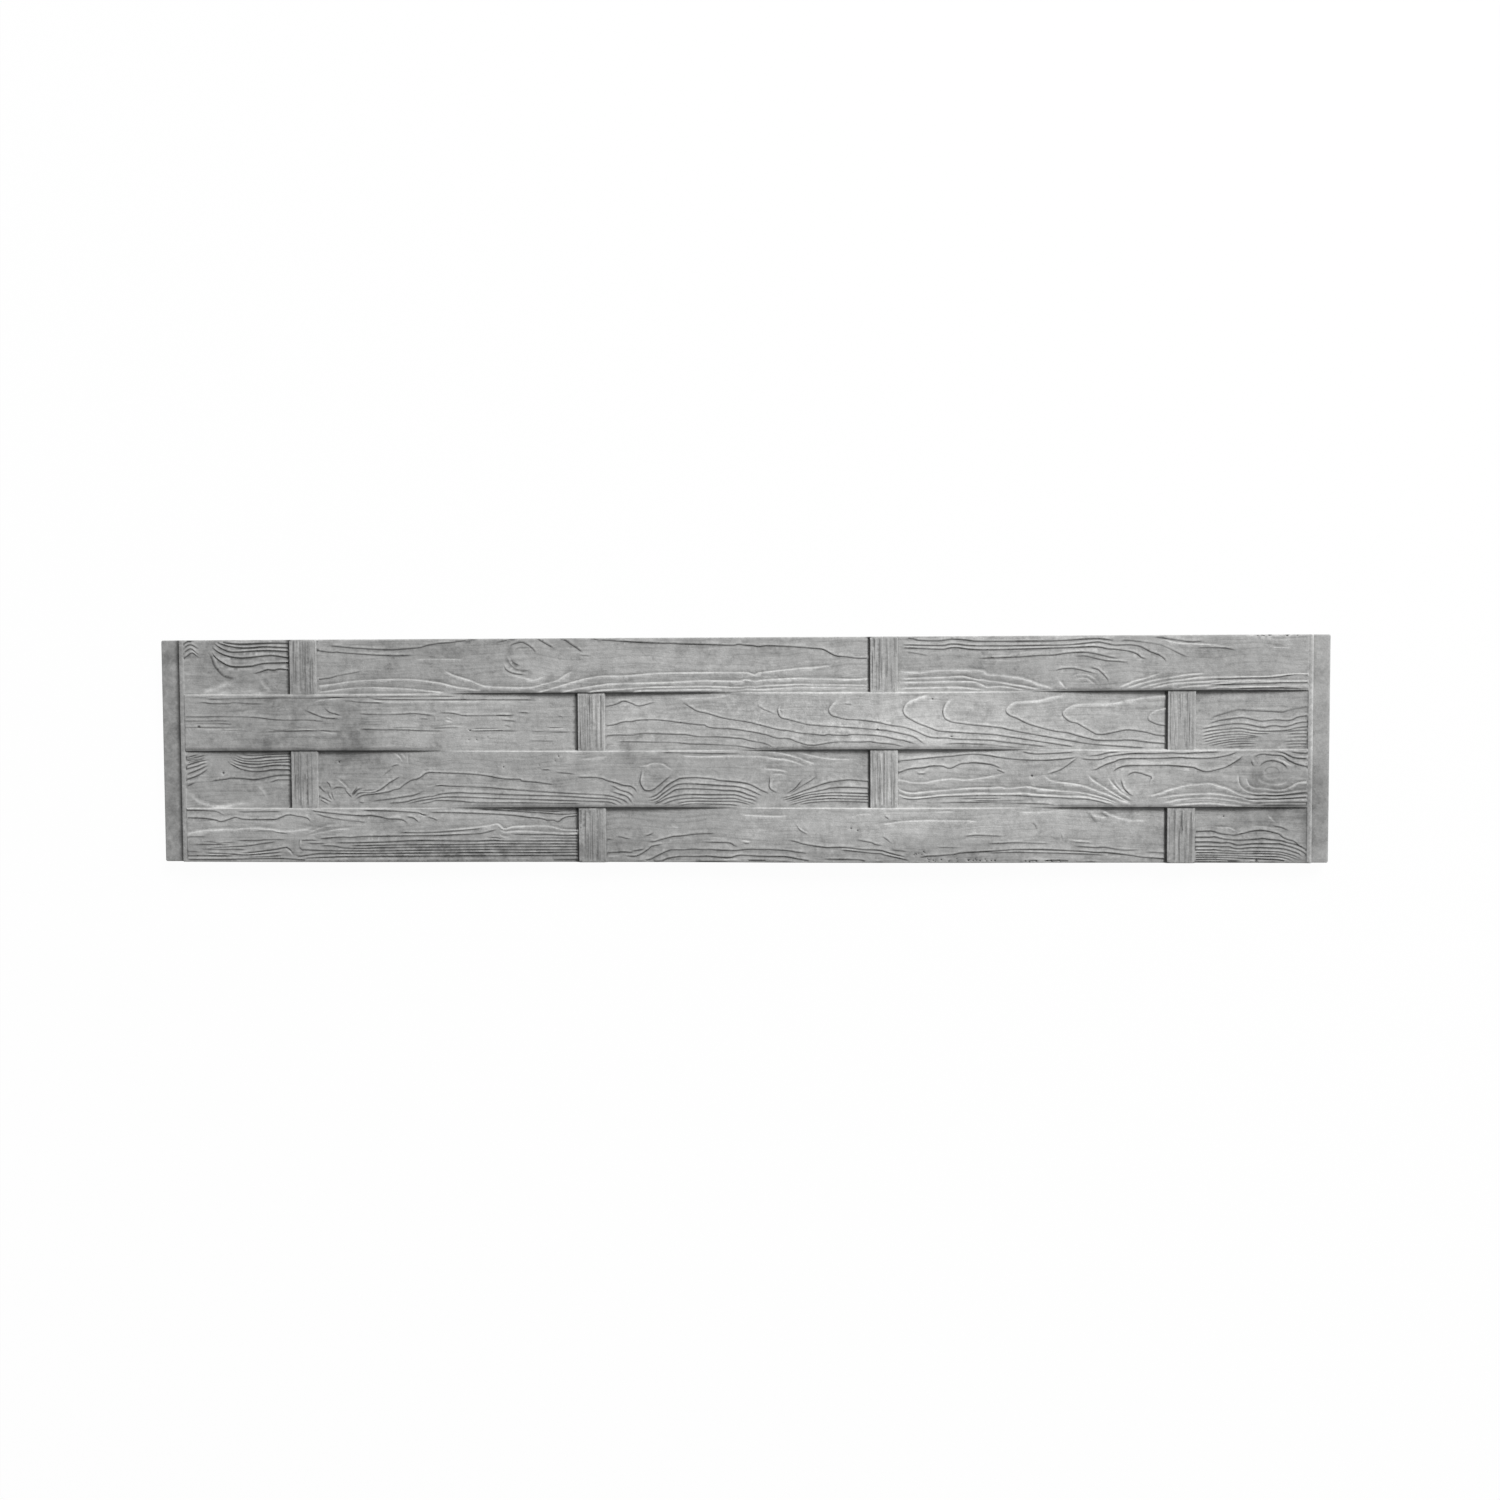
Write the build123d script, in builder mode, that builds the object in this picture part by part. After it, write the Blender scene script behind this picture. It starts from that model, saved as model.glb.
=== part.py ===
"""Precast concrete fence panel whose face is moulded as boards woven over and under upright battens.

Millimetres. The panel lies on its flat back with the relief up: X runs along the panel, Y from its
bottom edge to its top edge, Z out of the face. The origin is the middle of the back.
"""

import os
from math import ceil, radians, tan

from build123d import *

# The slab
panel_length = 2000.0
panel_height = 385.0
strip_thickness = 30.0
corner_radius = 3.0
strip_arris = 2.0

# The moulded field between the two plain end strips
end_strip_width = 30.0
border_width = 10.0
border_arris = 2.0
field_offset = 2.0
mould_draft = 15.0

# The woven boards
board_low_thickness = 34.5
weave_rise = 4.5
row_count = 4
board_height = 98.5
batten_pitch = 500.0
batten_width = 46.0
batten_proud = 2.5
batten_arris = 1.5
batten_seat = 3.0

# How far a cutting shape runs past the concrete that it cuts, and what the recesses skim off the crests
overrun = 10.0
skim = 1.0

lean = tan(radians(mould_draft))
mid_level = board_low_thickness + weave_rise
crest_level = mid_level + weave_rise
batten_level = mid_level + batten_proud
block_level = crest_level + skim
clear_level = crest_level + overrun
field_half = panel_length / 2 - end_strip_width
border_half = field_half - (mid_level - strip_thickness) * lean
boards_half = field_half - border_width
block_half = boards_half - (block_level - mid_level) * lean
spans_each_side = ceil((boards_half + overrun) / batten_pitch)


def span_sign(row, span):
    """+1 where the board of a row rides over the hidden batten of a span, -1 where it dips behind one."""
    return 1 if (row + span) % 2 else -1


def row_edges(row):
    """Lower and upper edge of a row of boards, row 0 at the top. The outer rows run off the panel."""
    top_line = board_height * (row_count / 2 - row)
    lower = top_line - board_height if row < row_count - 1 else -panel_height / 2 - overrun
    upper = top_line if row > 0 else panel_height / 2 + overrun
    return lower, upper


def row_battens(row):
    """Middle of each batten that shows in a row, where the whole batten fits on the boards."""
    middles = []
    for span in range(-spans_each_side, spans_each_side):
        middle = (span + 0.5) * batten_pitch
        fits = abs(middle) + batten_width / 2 + weave_rise * lean < boards_half
        if fits and span_sign(row, span) < 0:
            middles.append(field_offset + middle)
    return middles


def row_recess(row):
    """The hollow over one row of boards: the bent boards are its floor and the mould's draft its walls."""
    lower, upper = row_edges(row)
    foot = weave_rise * lean
    mouth = (clear_level - mid_level) * lean
    wave_end = spans_each_side * batten_pitch
    with BuildPart() as recess:
        with BuildSketch(Plane.XZ):
            with BuildLine():
                for span in range(-spans_each_side, spans_each_side):
                    start = field_offset + span * batten_pitch
                    level = mid_level + span_sign(row, span) * weave_rise
                    ThreePointArc(
                        (start, mid_level),
                        (start + batten_pitch / 2, level),
                        (start + batten_pitch, mid_level),
                    )
                Polyline(
                    (field_offset + wave_end, mid_level),
                    (field_offset + wave_end, clear_level),
                    (field_offset - wave_end, clear_level),
                    (field_offset - wave_end, mid_level),
                )
            make_face()
            with Locations((field_offset, 0)):
                Polygon(
                    (-boards_half + foot, board_low_thickness),
                    (boards_half - foot, board_low_thickness),
                    (boards_half + mouth, clear_level),
                    (-boards_half - mouth, clear_level),
                    align=None,
                    mode=Mode.INTERSECT,
                )
        extrude(amount=panel_height, both=True)
        with BuildSketch(Plane.YZ):
            Polygon(
                (lower + foot, board_low_thickness),
                (upper - foot, board_low_thickness),
                (upper + mouth, clear_level),
                (lower - mouth, clear_level),
                align=None,
            )
        extrude(amount=panel_length, both=True, mode=Mode.INTERSECT)
    return recess.part


def batten(row, middle):
    """A batten that shows in a row, seated a little way under the boards that ride over it above and below."""
    lower, upper = row_edges(row)
    lower = max(lower - batten_seat, -panel_height / 2)
    upper = min(upper + batten_seat, panel_height / 2)
    half = batten_width / 2
    foot = half + batten_level * lean
    with BuildPart() as strip:
        with BuildSketch(Plane.XZ.offset(-upper)):
            with Locations((middle, 0)):
                Polygon(
                    (-foot, 0),
                    (foot, 0),
                    (half, batten_level),
                    (-half, batten_level),
                    align=None,
                )
        extrude(amount=upper - lower)
        fillet(strip.edges().filter_by(Axis.Y).group_by(Axis.Z)[-1], batten_arris)
    return strip.part


recesses = [row_recess(row) for row in range(row_count)]
battens = [batten(row, middle) for row in range(row_count) for middle in row_battens(row)]

with BuildPart() as panel:
    # The slab, as thick as the end strips that slide into the posts
    with BuildSketch():
        RectangleRounded(panel_length, panel_height, corner_radius)
    extrude(amount=strip_thickness)
    fillet(panel.edges().group_by(Axis.Z)[-1], strip_arris)

    # The raised field in one stepped profile: end wall, border band, end wall of the boards
    with BuildSketch(Plane.XZ) as field_section:
        with Locations((field_offset, 0)):
            Polygon(
                (-field_half, 0),
                (field_half, 0),
                (field_half, strip_thickness),
                (border_half, mid_level),
                (boards_half, mid_level),
                (block_half, block_level),
                (-block_half, block_level),
                (-boards_half, mid_level),
                (-border_half, mid_level),
                (-field_half, strip_thickness),
                align=None,
            )
        border_corners = field_section.vertices().group_by(Axis.Y)[-2].sort_by(Axis.X)
        fillet([border_corners[0], border_corners[-1]], border_arris)
    extrude(amount=panel_height / 2, both=True)

    # The weave: each row's hollow is taken out, and its battens are left standing in it
    for recess in recesses:
        add(recess, mode=Mode.SUBTRACT)
    for strip in battens:
        add(strip)

panel.part.label = "panel"

os.makedirs("parts", exist_ok=True)
export_step(panel.part, "parts/panel.step")

print(f"volume {panel.part.volume / 1e6:.2f} litres, solids {len(panel.part.solids())}")
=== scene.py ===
"""A cast concrete fence panel whose face is moulded as boards woven over upright battens.

Metres, in the panel's own frame: it lies on its back, X runs along it, Y towards its upper edge and Z out of
the moulded face. The growth ledges of the moulded boards are listed in millimetres, as a ruler on the face
would read them: along the panel from its middle, and up from the lower edge of the row.
"""

import math
import random

import bmesh
import bpy
import numpy as np
from mathutils.geometry import delaunay_2d_cdt
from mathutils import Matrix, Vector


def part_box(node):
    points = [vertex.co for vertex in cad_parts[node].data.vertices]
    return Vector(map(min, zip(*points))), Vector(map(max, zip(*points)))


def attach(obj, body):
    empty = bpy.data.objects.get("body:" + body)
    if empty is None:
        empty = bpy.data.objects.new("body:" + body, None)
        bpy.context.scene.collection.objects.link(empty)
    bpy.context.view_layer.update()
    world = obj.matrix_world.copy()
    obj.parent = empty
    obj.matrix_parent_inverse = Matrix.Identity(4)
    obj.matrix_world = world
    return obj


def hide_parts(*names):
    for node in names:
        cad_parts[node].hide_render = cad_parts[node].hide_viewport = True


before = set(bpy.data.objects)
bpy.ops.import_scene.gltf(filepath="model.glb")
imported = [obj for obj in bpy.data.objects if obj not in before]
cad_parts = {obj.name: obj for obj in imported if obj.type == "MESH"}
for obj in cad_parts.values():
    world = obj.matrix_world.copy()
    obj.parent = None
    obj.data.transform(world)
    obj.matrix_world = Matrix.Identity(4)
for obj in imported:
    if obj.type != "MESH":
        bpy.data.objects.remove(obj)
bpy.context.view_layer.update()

MM = 0.001

# The casting
_, panel_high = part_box("panel")
HALF_LENGTH = panel_high.x
HALF_HEIGHT = panel_high.y
CREST_LEVEL = panel_high.z
STRIP_THICKNESS = 30 * MM
CORNER_RADIUS = 3 * MM
ARRIS_RADIUS = 1.4 * MM

# The moulded field and its weave
END_STRIP_WIDTH = 30 * MM
BORDER_WIDTH = 10 * MM
FIELD_OFFSET = 2 * MM
FIELD_HALF = HALF_LENGTH - END_STRIP_WIDTH
BOARDS_HALF = FIELD_HALF - BORDER_WIDTH
WEAVE_RISE = 4.5 * MM
MID_LEVEL = CREST_LEVEL - WEAVE_RISE
ROW_COUNT = 4
BOARD_HEIGHT = 98.5 * MM
BATTEN_PITCH = 500 * MM
BATTEN_HALF = 23 * MM
BATTEN_PROUD = 2.5 * MM
MOULD_DRAFT = 15
LEAN = math.tan(math.radians(MOULD_DRAFT))

# How round the weave's corners are, and how steeply a dipping board runs down from the border at its end
SOFT_CORNER = 2 * MM
END_SLOPE = 0.35

# The grain stands in the outer skin of the casting
SKIN = 0.8 * MM
DEEPEST = 3.4 * MM

# A ledge drops over twice its half width. The rise beside it reaches out a number of half widths, and the
# ledge fades at its ends, unless an end is so near to its board's end that it runs on past it.
LEDGE_HALF = 1.0 * MM
LEDGE_REACH = 6
LEDGE_FADE = 15 * MM
RUNS_ON_WITHIN = 4 * MM
SOFT_START_FADE = 12 * MM
SWELL_LENGTH = 17 * MM

# How many fine lines a batten has, and in millimetres their whole width and half of its flat face
BATTEN_LINES = 10
BATTEN_LINES_WIDTH = 41
BATTEN_FACE_HALF = 21

# Spacing of the face's own points, and the clear room round those of a line
PATH_STEP = 3.6 * MM
FILL_STEP = 5.2 * MM
EDGE_STEP = 4 * MM
BACK_STEP = 25 * MM
CLEAR_CELL = 1 * MM
CLEAR_ROOM = 1.2 * MM

# Lines of points along a ledge, in its half widths, and the room they leave at their board's ends and sides
LEDGE_LINE_OFFSETS = (-2.1, -1, 1, 2.1)
FINE_LEDGE_LINE_OFFSETS = (-1, 1)
BOARD_END_ROOM = 2 * MM
BOARD_SIDE_ROOM = 3.5 * MM

# Lines of points beside the row lines, the ends of the field and the sides of the battens, in millimetres
# outwards, and more of them to the left, where the painted shadow lies
ROW_LINE_OFFSETS = (-3.2, -2.0, -1.3, -0.6, 0.6, 1.3, 2.0, 3.2)
FIELD_END_OFFSETS = (-11.5, -10.5, -10, -9.4, -8.4, -3.0, -2.2, -1.7, -1.2, -0.3, 0.3, 1.2)
LEFT_END_OFFSETS = (3, 4.5)
BATTEN_SIDE_OFFSETS = (-1.4, -0.5, 0.1, 0.7, 1.4, 2.2)
LEFT_SIDE_OFFSETS = (3.6, 5.2)

# Strips of painted shadow that the walls cast
END_SHADOW_WIDTH = 5.6 * MM
LEFT_BATTEN_SHADOW_WIDTH = 6.7 * MM
RIGHT_BATTEN_SHADOW_WIDTH = 5.4 * MM
EDGE_SHADOW_HEIGHT = 4.6 * MM
WALL_HALF = 0.7 * MM

# The concrete's own colour, and the most painted shade with dirt, and wear with painted highlight, it takes
CONCRETE_RED_GREEN = 0.371
CONCRETE_BLUE = 0.367
MOST_SHADE_AND_DIRT = 0.9
MOST_WEAR_AND_HIGHLIGHT = 0.75

# Edges of the mesh that turn by more than this many degrees stay sharp
SHARP_TURN = 62

# The floor, the lamp and the camera
FLOOR_REACH = 12
FLOOR_GREY = 0.86
FLOOR_GLOW = 0.97
LAMP_SIDE = 3.2
LAMP_WATTS = 620
LAMP_PLACE = (2.3, 5.0, 5.4)
SKY_STRENGTH = 0.3
SENSOR_WIDTH = 36
LENS_LENGTH = 42.16
CAMERA_PLACE = (0.1834, 0.1568, 3.029)
CAMERA_TURN = (-3.0024, 3.0344, -0.2741)


class Wire:
    """One output of a node. Python's own arithmetic on wires adds Math nodes to the tree."""

    def __init__(self, tree, socket):
        self.tree = tree
        self.socket = socket

    def math(self, operation, *values):
        return node(self.tree, "ShaderNodeMath", {"operation": operation}, dict(enumerate(values)))

    def __add__(self, other):
        return self.math("ADD", self, other)

    def __radd__(self, other):
        return self.math("ADD", other, self)

    def __sub__(self, other):
        return self.math("SUBTRACT", self, other)

    def __rsub__(self, other):
        return self.math("SUBTRACT", other, self)

    def __mul__(self, other):
        return self.math("MULTIPLY", self, other)

    def __rmul__(self, other):
        return self.math("MULTIPLY", other, self)

    def __truediv__(self, other):
        return self.math("DIVIDE", self, other)

    def __abs__(self):
        return self.math("ABSOLUTE", self)

    def floor(self):
        return self.math("FLOOR", self)

    def round(self):
        return self.math("ROUND", self)

    def odd(self):
        """1 for an odd whole number, 0 for an even one."""
        return self.math("FLOORED_MODULO", self, 2)

    def root(self):
        return self.math("SQRT", self)

    def least(self, other, soft=None):
        if soft is None:
            return self.math("MINIMUM", self, other)
        return self.math("SMOOTH_MIN", self, other, soft)

    def most(self, other, soft=None):
        if soft is None:
            return self.math("MAXIMUM", self, other)
        return self.math("SMOOTH_MAX", self, other, soft)

    def clamp(self, low=0.0, high=1.0):
        return self.most(low).least(high)

    def axis(self, name):
        """X, Y or Z of a vector."""
        return node(self.tree, "ShaderNodeSeparateXYZ", values={0: self}, output=name)


def node(tree, kind, settings=None, values=None, output=0):
    """Adds one node: its settings first, then the values or links of its sockets."""
    made = tree.nodes.new(kind)
    for name, value in (settings or {}).items():
        setattr(made, name, value)
    for name, value in (values or {}).items():
        if isinstance(value, Wire):
            tree.links.new(value.socket, made.inputs[name])
        else:
            made.inputs[name].default_value = value
    return Wire(tree, made.outputs[output] if len(made.outputs) else None)


def cleared_tree(owner):
    """The node tree of a material or of the world, emptied."""
    owner.use_nodes = True
    owner.node_tree.nodes.clear()
    return owner.node_tree


# Rows of boards


def row_lines():
    """Heights of the lines between the rows."""
    return [BOARD_HEIGHT * (k - ROW_COUNT / 2) for k in range(1, ROW_COUNT)]


def row_limits(row):
    """Lower and upper limit of a row of boards, row 0 at the top."""
    upper = BOARD_HEIGHT * (ROW_COUNT / 2 - row)
    low = -HALF_HEIGHT if row == ROW_COUNT - 1 else upper - BOARD_HEIGHT
    return low, HALF_HEIGHT if row == 0 else upper


def row_battens(row):
    """Middles of the battens that show in a row: every second one of the whole run."""
    spans = [span for span in range(-2, 2) if (row + span) % 2 == 0]
    return [FIELD_OFFSET + (span + 0.5) * BATTEN_PITCH for span in spans]


# Growth ledges


def ledge(drop, *points, half=LEDGE_HALF / MM, soft_start=0, closed=False):
    """One ledge of the grain: how far it drops in millimetres, to the right of the way its points run.

    The drop is twice as wide over a soft start of that length.
    """
    made = {"drop": drop * MM, "points": np.array(points, float) * MM, "half": half * MM}
    return made | {"soft_start": soft_start * MM, "closed": closed}


def top_left_board():
    return [
        ledge(1.4, (-895, 93), (-885, 90), (-870, 88), (-850, 87.5), (-800, 89), (-773, 88)),
        ledge(1.5, (-903, 93), (-890, 87), (-875, 83), (-860, 81), (-840, 81), (-815, 82.5),
              (-773, 80.5)),
        ledge(1.4, (-905, 90), (-897, 83), (-888, 78), (-878, 74.5), (-865, 73.5), (-815, 76),
              (-773, 74)),
        ledge(1.5, (-909, 84), (-898, 74), (-880, 66.5), (-855, 63.5), (-815, 67), (-800, 67),
              (-773, 63)),
        ledge(1.7, (-909, 75), (-903, 65), (-888, 54), (-872, 48.5), (-842, 49), (-828, 52), (-812, 54),
              (-773, 55)),
        ledge(1.1, (-838, 36), (-822, 40), (-812, 43), (-800, 42), (-790, 44), (-773, 42)),
        ledge(0.55, (-913, 75), (-907, 62), (-903, 50), (-890, 35), (-882, 31), (-865, 28), half=2),
        ledge(-0.8, (-932, 4), (-900, 14), (-885, 20), (-868, 25), half=2.6),
        ledge(-0.6, (-905, 2), (-880, 5), (-850, 6), (-830, 5), (-815, 1), half=2.4),
        ledge(-0.6, (-821, 29), (-817, 18), (-810, 9), (-803, 3), half=2.6),
        ledge(1.1, (-963, 82), (-955, 90), (-946, 93), (-936, 91)),
        ledge(1.1, (-963, 76), (-954, 84), (-945, 87), (-937, 83), (-930, 78)),
        ledge(1.1, (-963, 68), (-954, 76), (-945, 80), (-937, 74), (-929, 67)),
        ledge(1.1, (-963, 60), (-953, 67), (-944, 73), (-936, 68), (-929, 62)),
    ]


def top_middle_board():
    return [
        ledge(1.2, (-703, 84), (-660, 80), (-600, 76.5), (-570, 78), (-545, 80), (-530, 84), (-510, 87),
              (-490, 88.5), (-470, 91), (-440, 93.5)),
        ledge(1.2, (-725, 76), (-700, 72.5), (-690, 73), (-670, 71), (-600, 66.5), (-555, 67)),
        ledge(0.8, (-724, 26), (-705, 28), (-690, 32), (-645, 40)),
        ledge(-1.4, (-725, 15), (-700, 17), (-660, 22.5), (-575, 25.5), (-520, 20.5), (-485, 12.5),
              (-470, 10), (-440, 6)),
        ledge(-1.4, (-725, 4), (-700, 6), (-690, 8), (-670, 10), (-640, 11.5), (-570, 9), (-500, 2)),
        ledge(-1.4, (-502, 41), (-493, 35), (-480, 30), (-455, 22), (-435, 14), (-420, 12), (-380, 10.5),
              (-350, 11), (-330, 16), (-310, 21), (-303, 24), (-290, 33), (-276, 39)),
        ledge(-1.5, (-345, 2), (-325, 6), (-270, 22), (-245, 27), (-230, 29.5), (-190, 30), (-130, 34),
              (-60, 35), (10, 34.5), (22, 34), (32, 30.5), (40, 34), (50, 35), (110, 41.5), (130, 42.5),
              (165, 46)),
        ledge(-1.5, (-303, 1), (-290, 4.5), (-265, 9), (-225, 15), (-200, 16.5), (-100, 19), (-60, 21),
              (-20, 20.5), (8, 20), (15, 22.5), (25, 21), (35, 19.5), (45, 21.5), (70, 23), (100, 24.5),
              (130, 23.5), (170, 23), (205, 22), (229, 24)),
        ledge(-1.4, (-258, 1), (-235, 5), (-190, 7.5), (-130, 10.5), (-40, 11), (0, 9), (20, 11),
              (35, 10), (50, 12), (110, 14), (140, 13), (229, 12)),
        ledge(-1.1, (-180, 2), (-150, 5), (-40, 6), (0, 4.5), (20, 6), (45, 5.5), (90, 8.5), (120, 9),
              (229, 7.5)),
        ledge(1.1, (-388, 78), (-385, 83), (-381, 85.5), (-364, 88), (-346.5, 77), (-340, 66), half=1.2),
        ledge(0.4, (-380, 66), (-379, 73), (-376, 77.5), (-371.5, 79.5), (-359, 80), (-354, 78),
              (-351, 73), half=0.8),
        ledge(0.7, (-384, 63), (-382, 55.5), (-378.5, 52.5), (-368, 48), half=0.8),
        ledge(0.6, (-394, 70), (-392, 61), (-389, 56.5), (-386.5, 51.5), (-379, 44), (-367, 40),
              (-358, 40), (-350, 44), half=0.8),
        ledge(1.0, (-398, 52), (-394, 42), (-384, 36), (-368, 33), (-358, 33)),
        ledge(-0.6, (-400, 40), (-392, 34), (-384, 31), (-360, 26.5), (-352, 23.5), (-343, 24),
              (-326, 31), half=1.4),
        ledge(1.6, (-344, 93.5), (-338, 93), (-334, 91.5), (-309, 77), half=1.3),
        ledge(1.4, (-302, 94), (-290, 91), (-283, 86), (-268, 76), (-260, 69), half=1.3),
        ledge(0.9, (-268, 66), (-246, 64)),
        ledge(1.2, (-415, 88), (-400, 90), (-390, 92), (-372, 93.5)),
        ledge(1.7, (-248, 94), (-235, 92), (-160, 86.5), (-110, 85), (-85, 83.5), (-30, 82), (-5, 81),
              (5, 83), (15, 81.5), (30, 80), (40, 78.5), (55, 80), (100, 78), (135, 75), (150, 73),
              (170, 62.5), (190, 60.5), (210, 58), (229, 58)),
        ledge(-0.8, (-555, 59), (-530, 60), (-465, 59)),
    ]


def top_right_board():
    return [
        ledge(1.5, (281, 92), (300, 91), (312, 88), (345, 87), (366, 89.5), (390, 88), (408, 86),
              (450, 85.5), (540, 86), (600, 89), (625, 88), (640, 85)),
        ledge(1.4, (281, 80), (300, 80), (350, 79), (362, 81), (376, 81), (400, 78.5), (450, 78),
              (538, 78.6), (570, 79.6), (604, 83), (616, 83), (638, 78.4), (660, 78.6), (674, 77.4),
              (686, 74), (698, 67), (710, 62.4), (720, 57), (727, 48)),
        ledge(1.8, (281, 75.5), (316, 74), (350, 72.6), (362, 74.4), (376, 75), (408, 71.5), (470, 72),
              (570, 74.4), (600, 75.6), (616, 74.4), (626, 72), (640, 71), (660, 68.4), (670, 66),
              (678, 62), (684, 57), (694, 55)),
        ledge(0.8, (283, 69), (300, 67), (332, 61)),
        ledge(1.4, (410, 57), (478, 59), (510, 61.4), (538, 62), (554, 64.4), (582, 66.4), (602, 65),
              (632, 58), (648, 56)),
        ledge(0.9, (570, 59), (590, 60), (620, 53), (640, 51), (665, 49)),
        ledge(0.6, (643, 84), (660, 86), (680, 84), (712, 79), (730, 72), (750, 62), (764, 57)),
        ledge(0.9, (700, 92), (745, 86), (765, 83), (790, 85)),
        ledge(-1.2, (718, 88), (735, 83), (750, 81), (800, 78), (822, 75)),
        ledge(1.1, (772, 73), (800, 73), (824, 72), (842, 68)),
        ledge(-0.9, (895, 74.5), (910, 73), (932, 72)),
        ledge(-1.4, (281, 34), (300, 34), (315, 33.5), (330, 36), (350, 37.5), (380, 38), (405, 37),
              (420, 35), (428, 29.5), (450, 28), (475, 25), (495, 20), (512, 13), (540, 5), half=1.5),
        ledge(-1.7, (281, 22.6), (350, 25), (380, 26.4), (390, 25.6), (410, 20.6), (420, 20.6),
              (430, 18), (450, 16), (470, 12), (490, 9), (515, 4)),
        ledge(-1.4, (281, 16.4), (350, 17.6), (390, 17.6), (406, 16.4), (418, 12), (426, 8), (450, 9),
              (490, 3)),
        ledge(-1.4, (281, 7), (350, 8), (380, 8), (422, 3)),
        ledge(1.1, (538, 34), (550, 38.4), (570, 39), (586, 36), (612, 29)),
        ledge(1.7, (596, 41), (610, 38), (616, 34), (628, 21), (630, 12)),
        ledge(-0.9, (568, 24), (575, 28.5), (585, 29.5), (595, 28), (603, 24), (610, 18), (616, 10)),
        ledge(-0.9, (571, 18), (580, 22.5), (590, 22.5), (597, 20), (610, 8)),
        ledge(-1.1, (545, 20), (552, 13), (558, 4)),
        ledge(-1.4, (643, 5), (660, 13), (676, 19), (692, 23), (710, 29), (722, 34)),
        ledge(-1.4, (657, 5), (696, 17), (735, 24), (760, 28), (790, 30)),
        ledge(-1.4, (680, 5), (696, 10), (730, 17), (750, 19), (770, 22), (790, 23.4), (840, 24),
              (890, 24), (910, 26.4), (940, 28), (962, 28)),
        ledge(-1.5, (700, 5), (730, 12), (750, 14), (790, 16), (810, 17.6), (840, 17), (870, 18),
              (900, 17), (962, 17)),
        ledge(1.2, (805, 20), (860, 22), (900, 22.4), (940, 27), (962, 26)),
        ledge(-1.4, (738, 4), (760, 8), (790, 10), (820, 13), (840, 13)),
        ledge(1.4, (780, 9), (800, 11), (830, 11.6), (900, 13), (920, 14), (962, 13.6)),
        ledge(-1.1, (790, 4.5), (820, 7.6), (840, 6.4), (920, 8)),
        ledge(1.1, (840, 4), (900, 5.6), (950, 4.4)),
    ]


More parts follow.
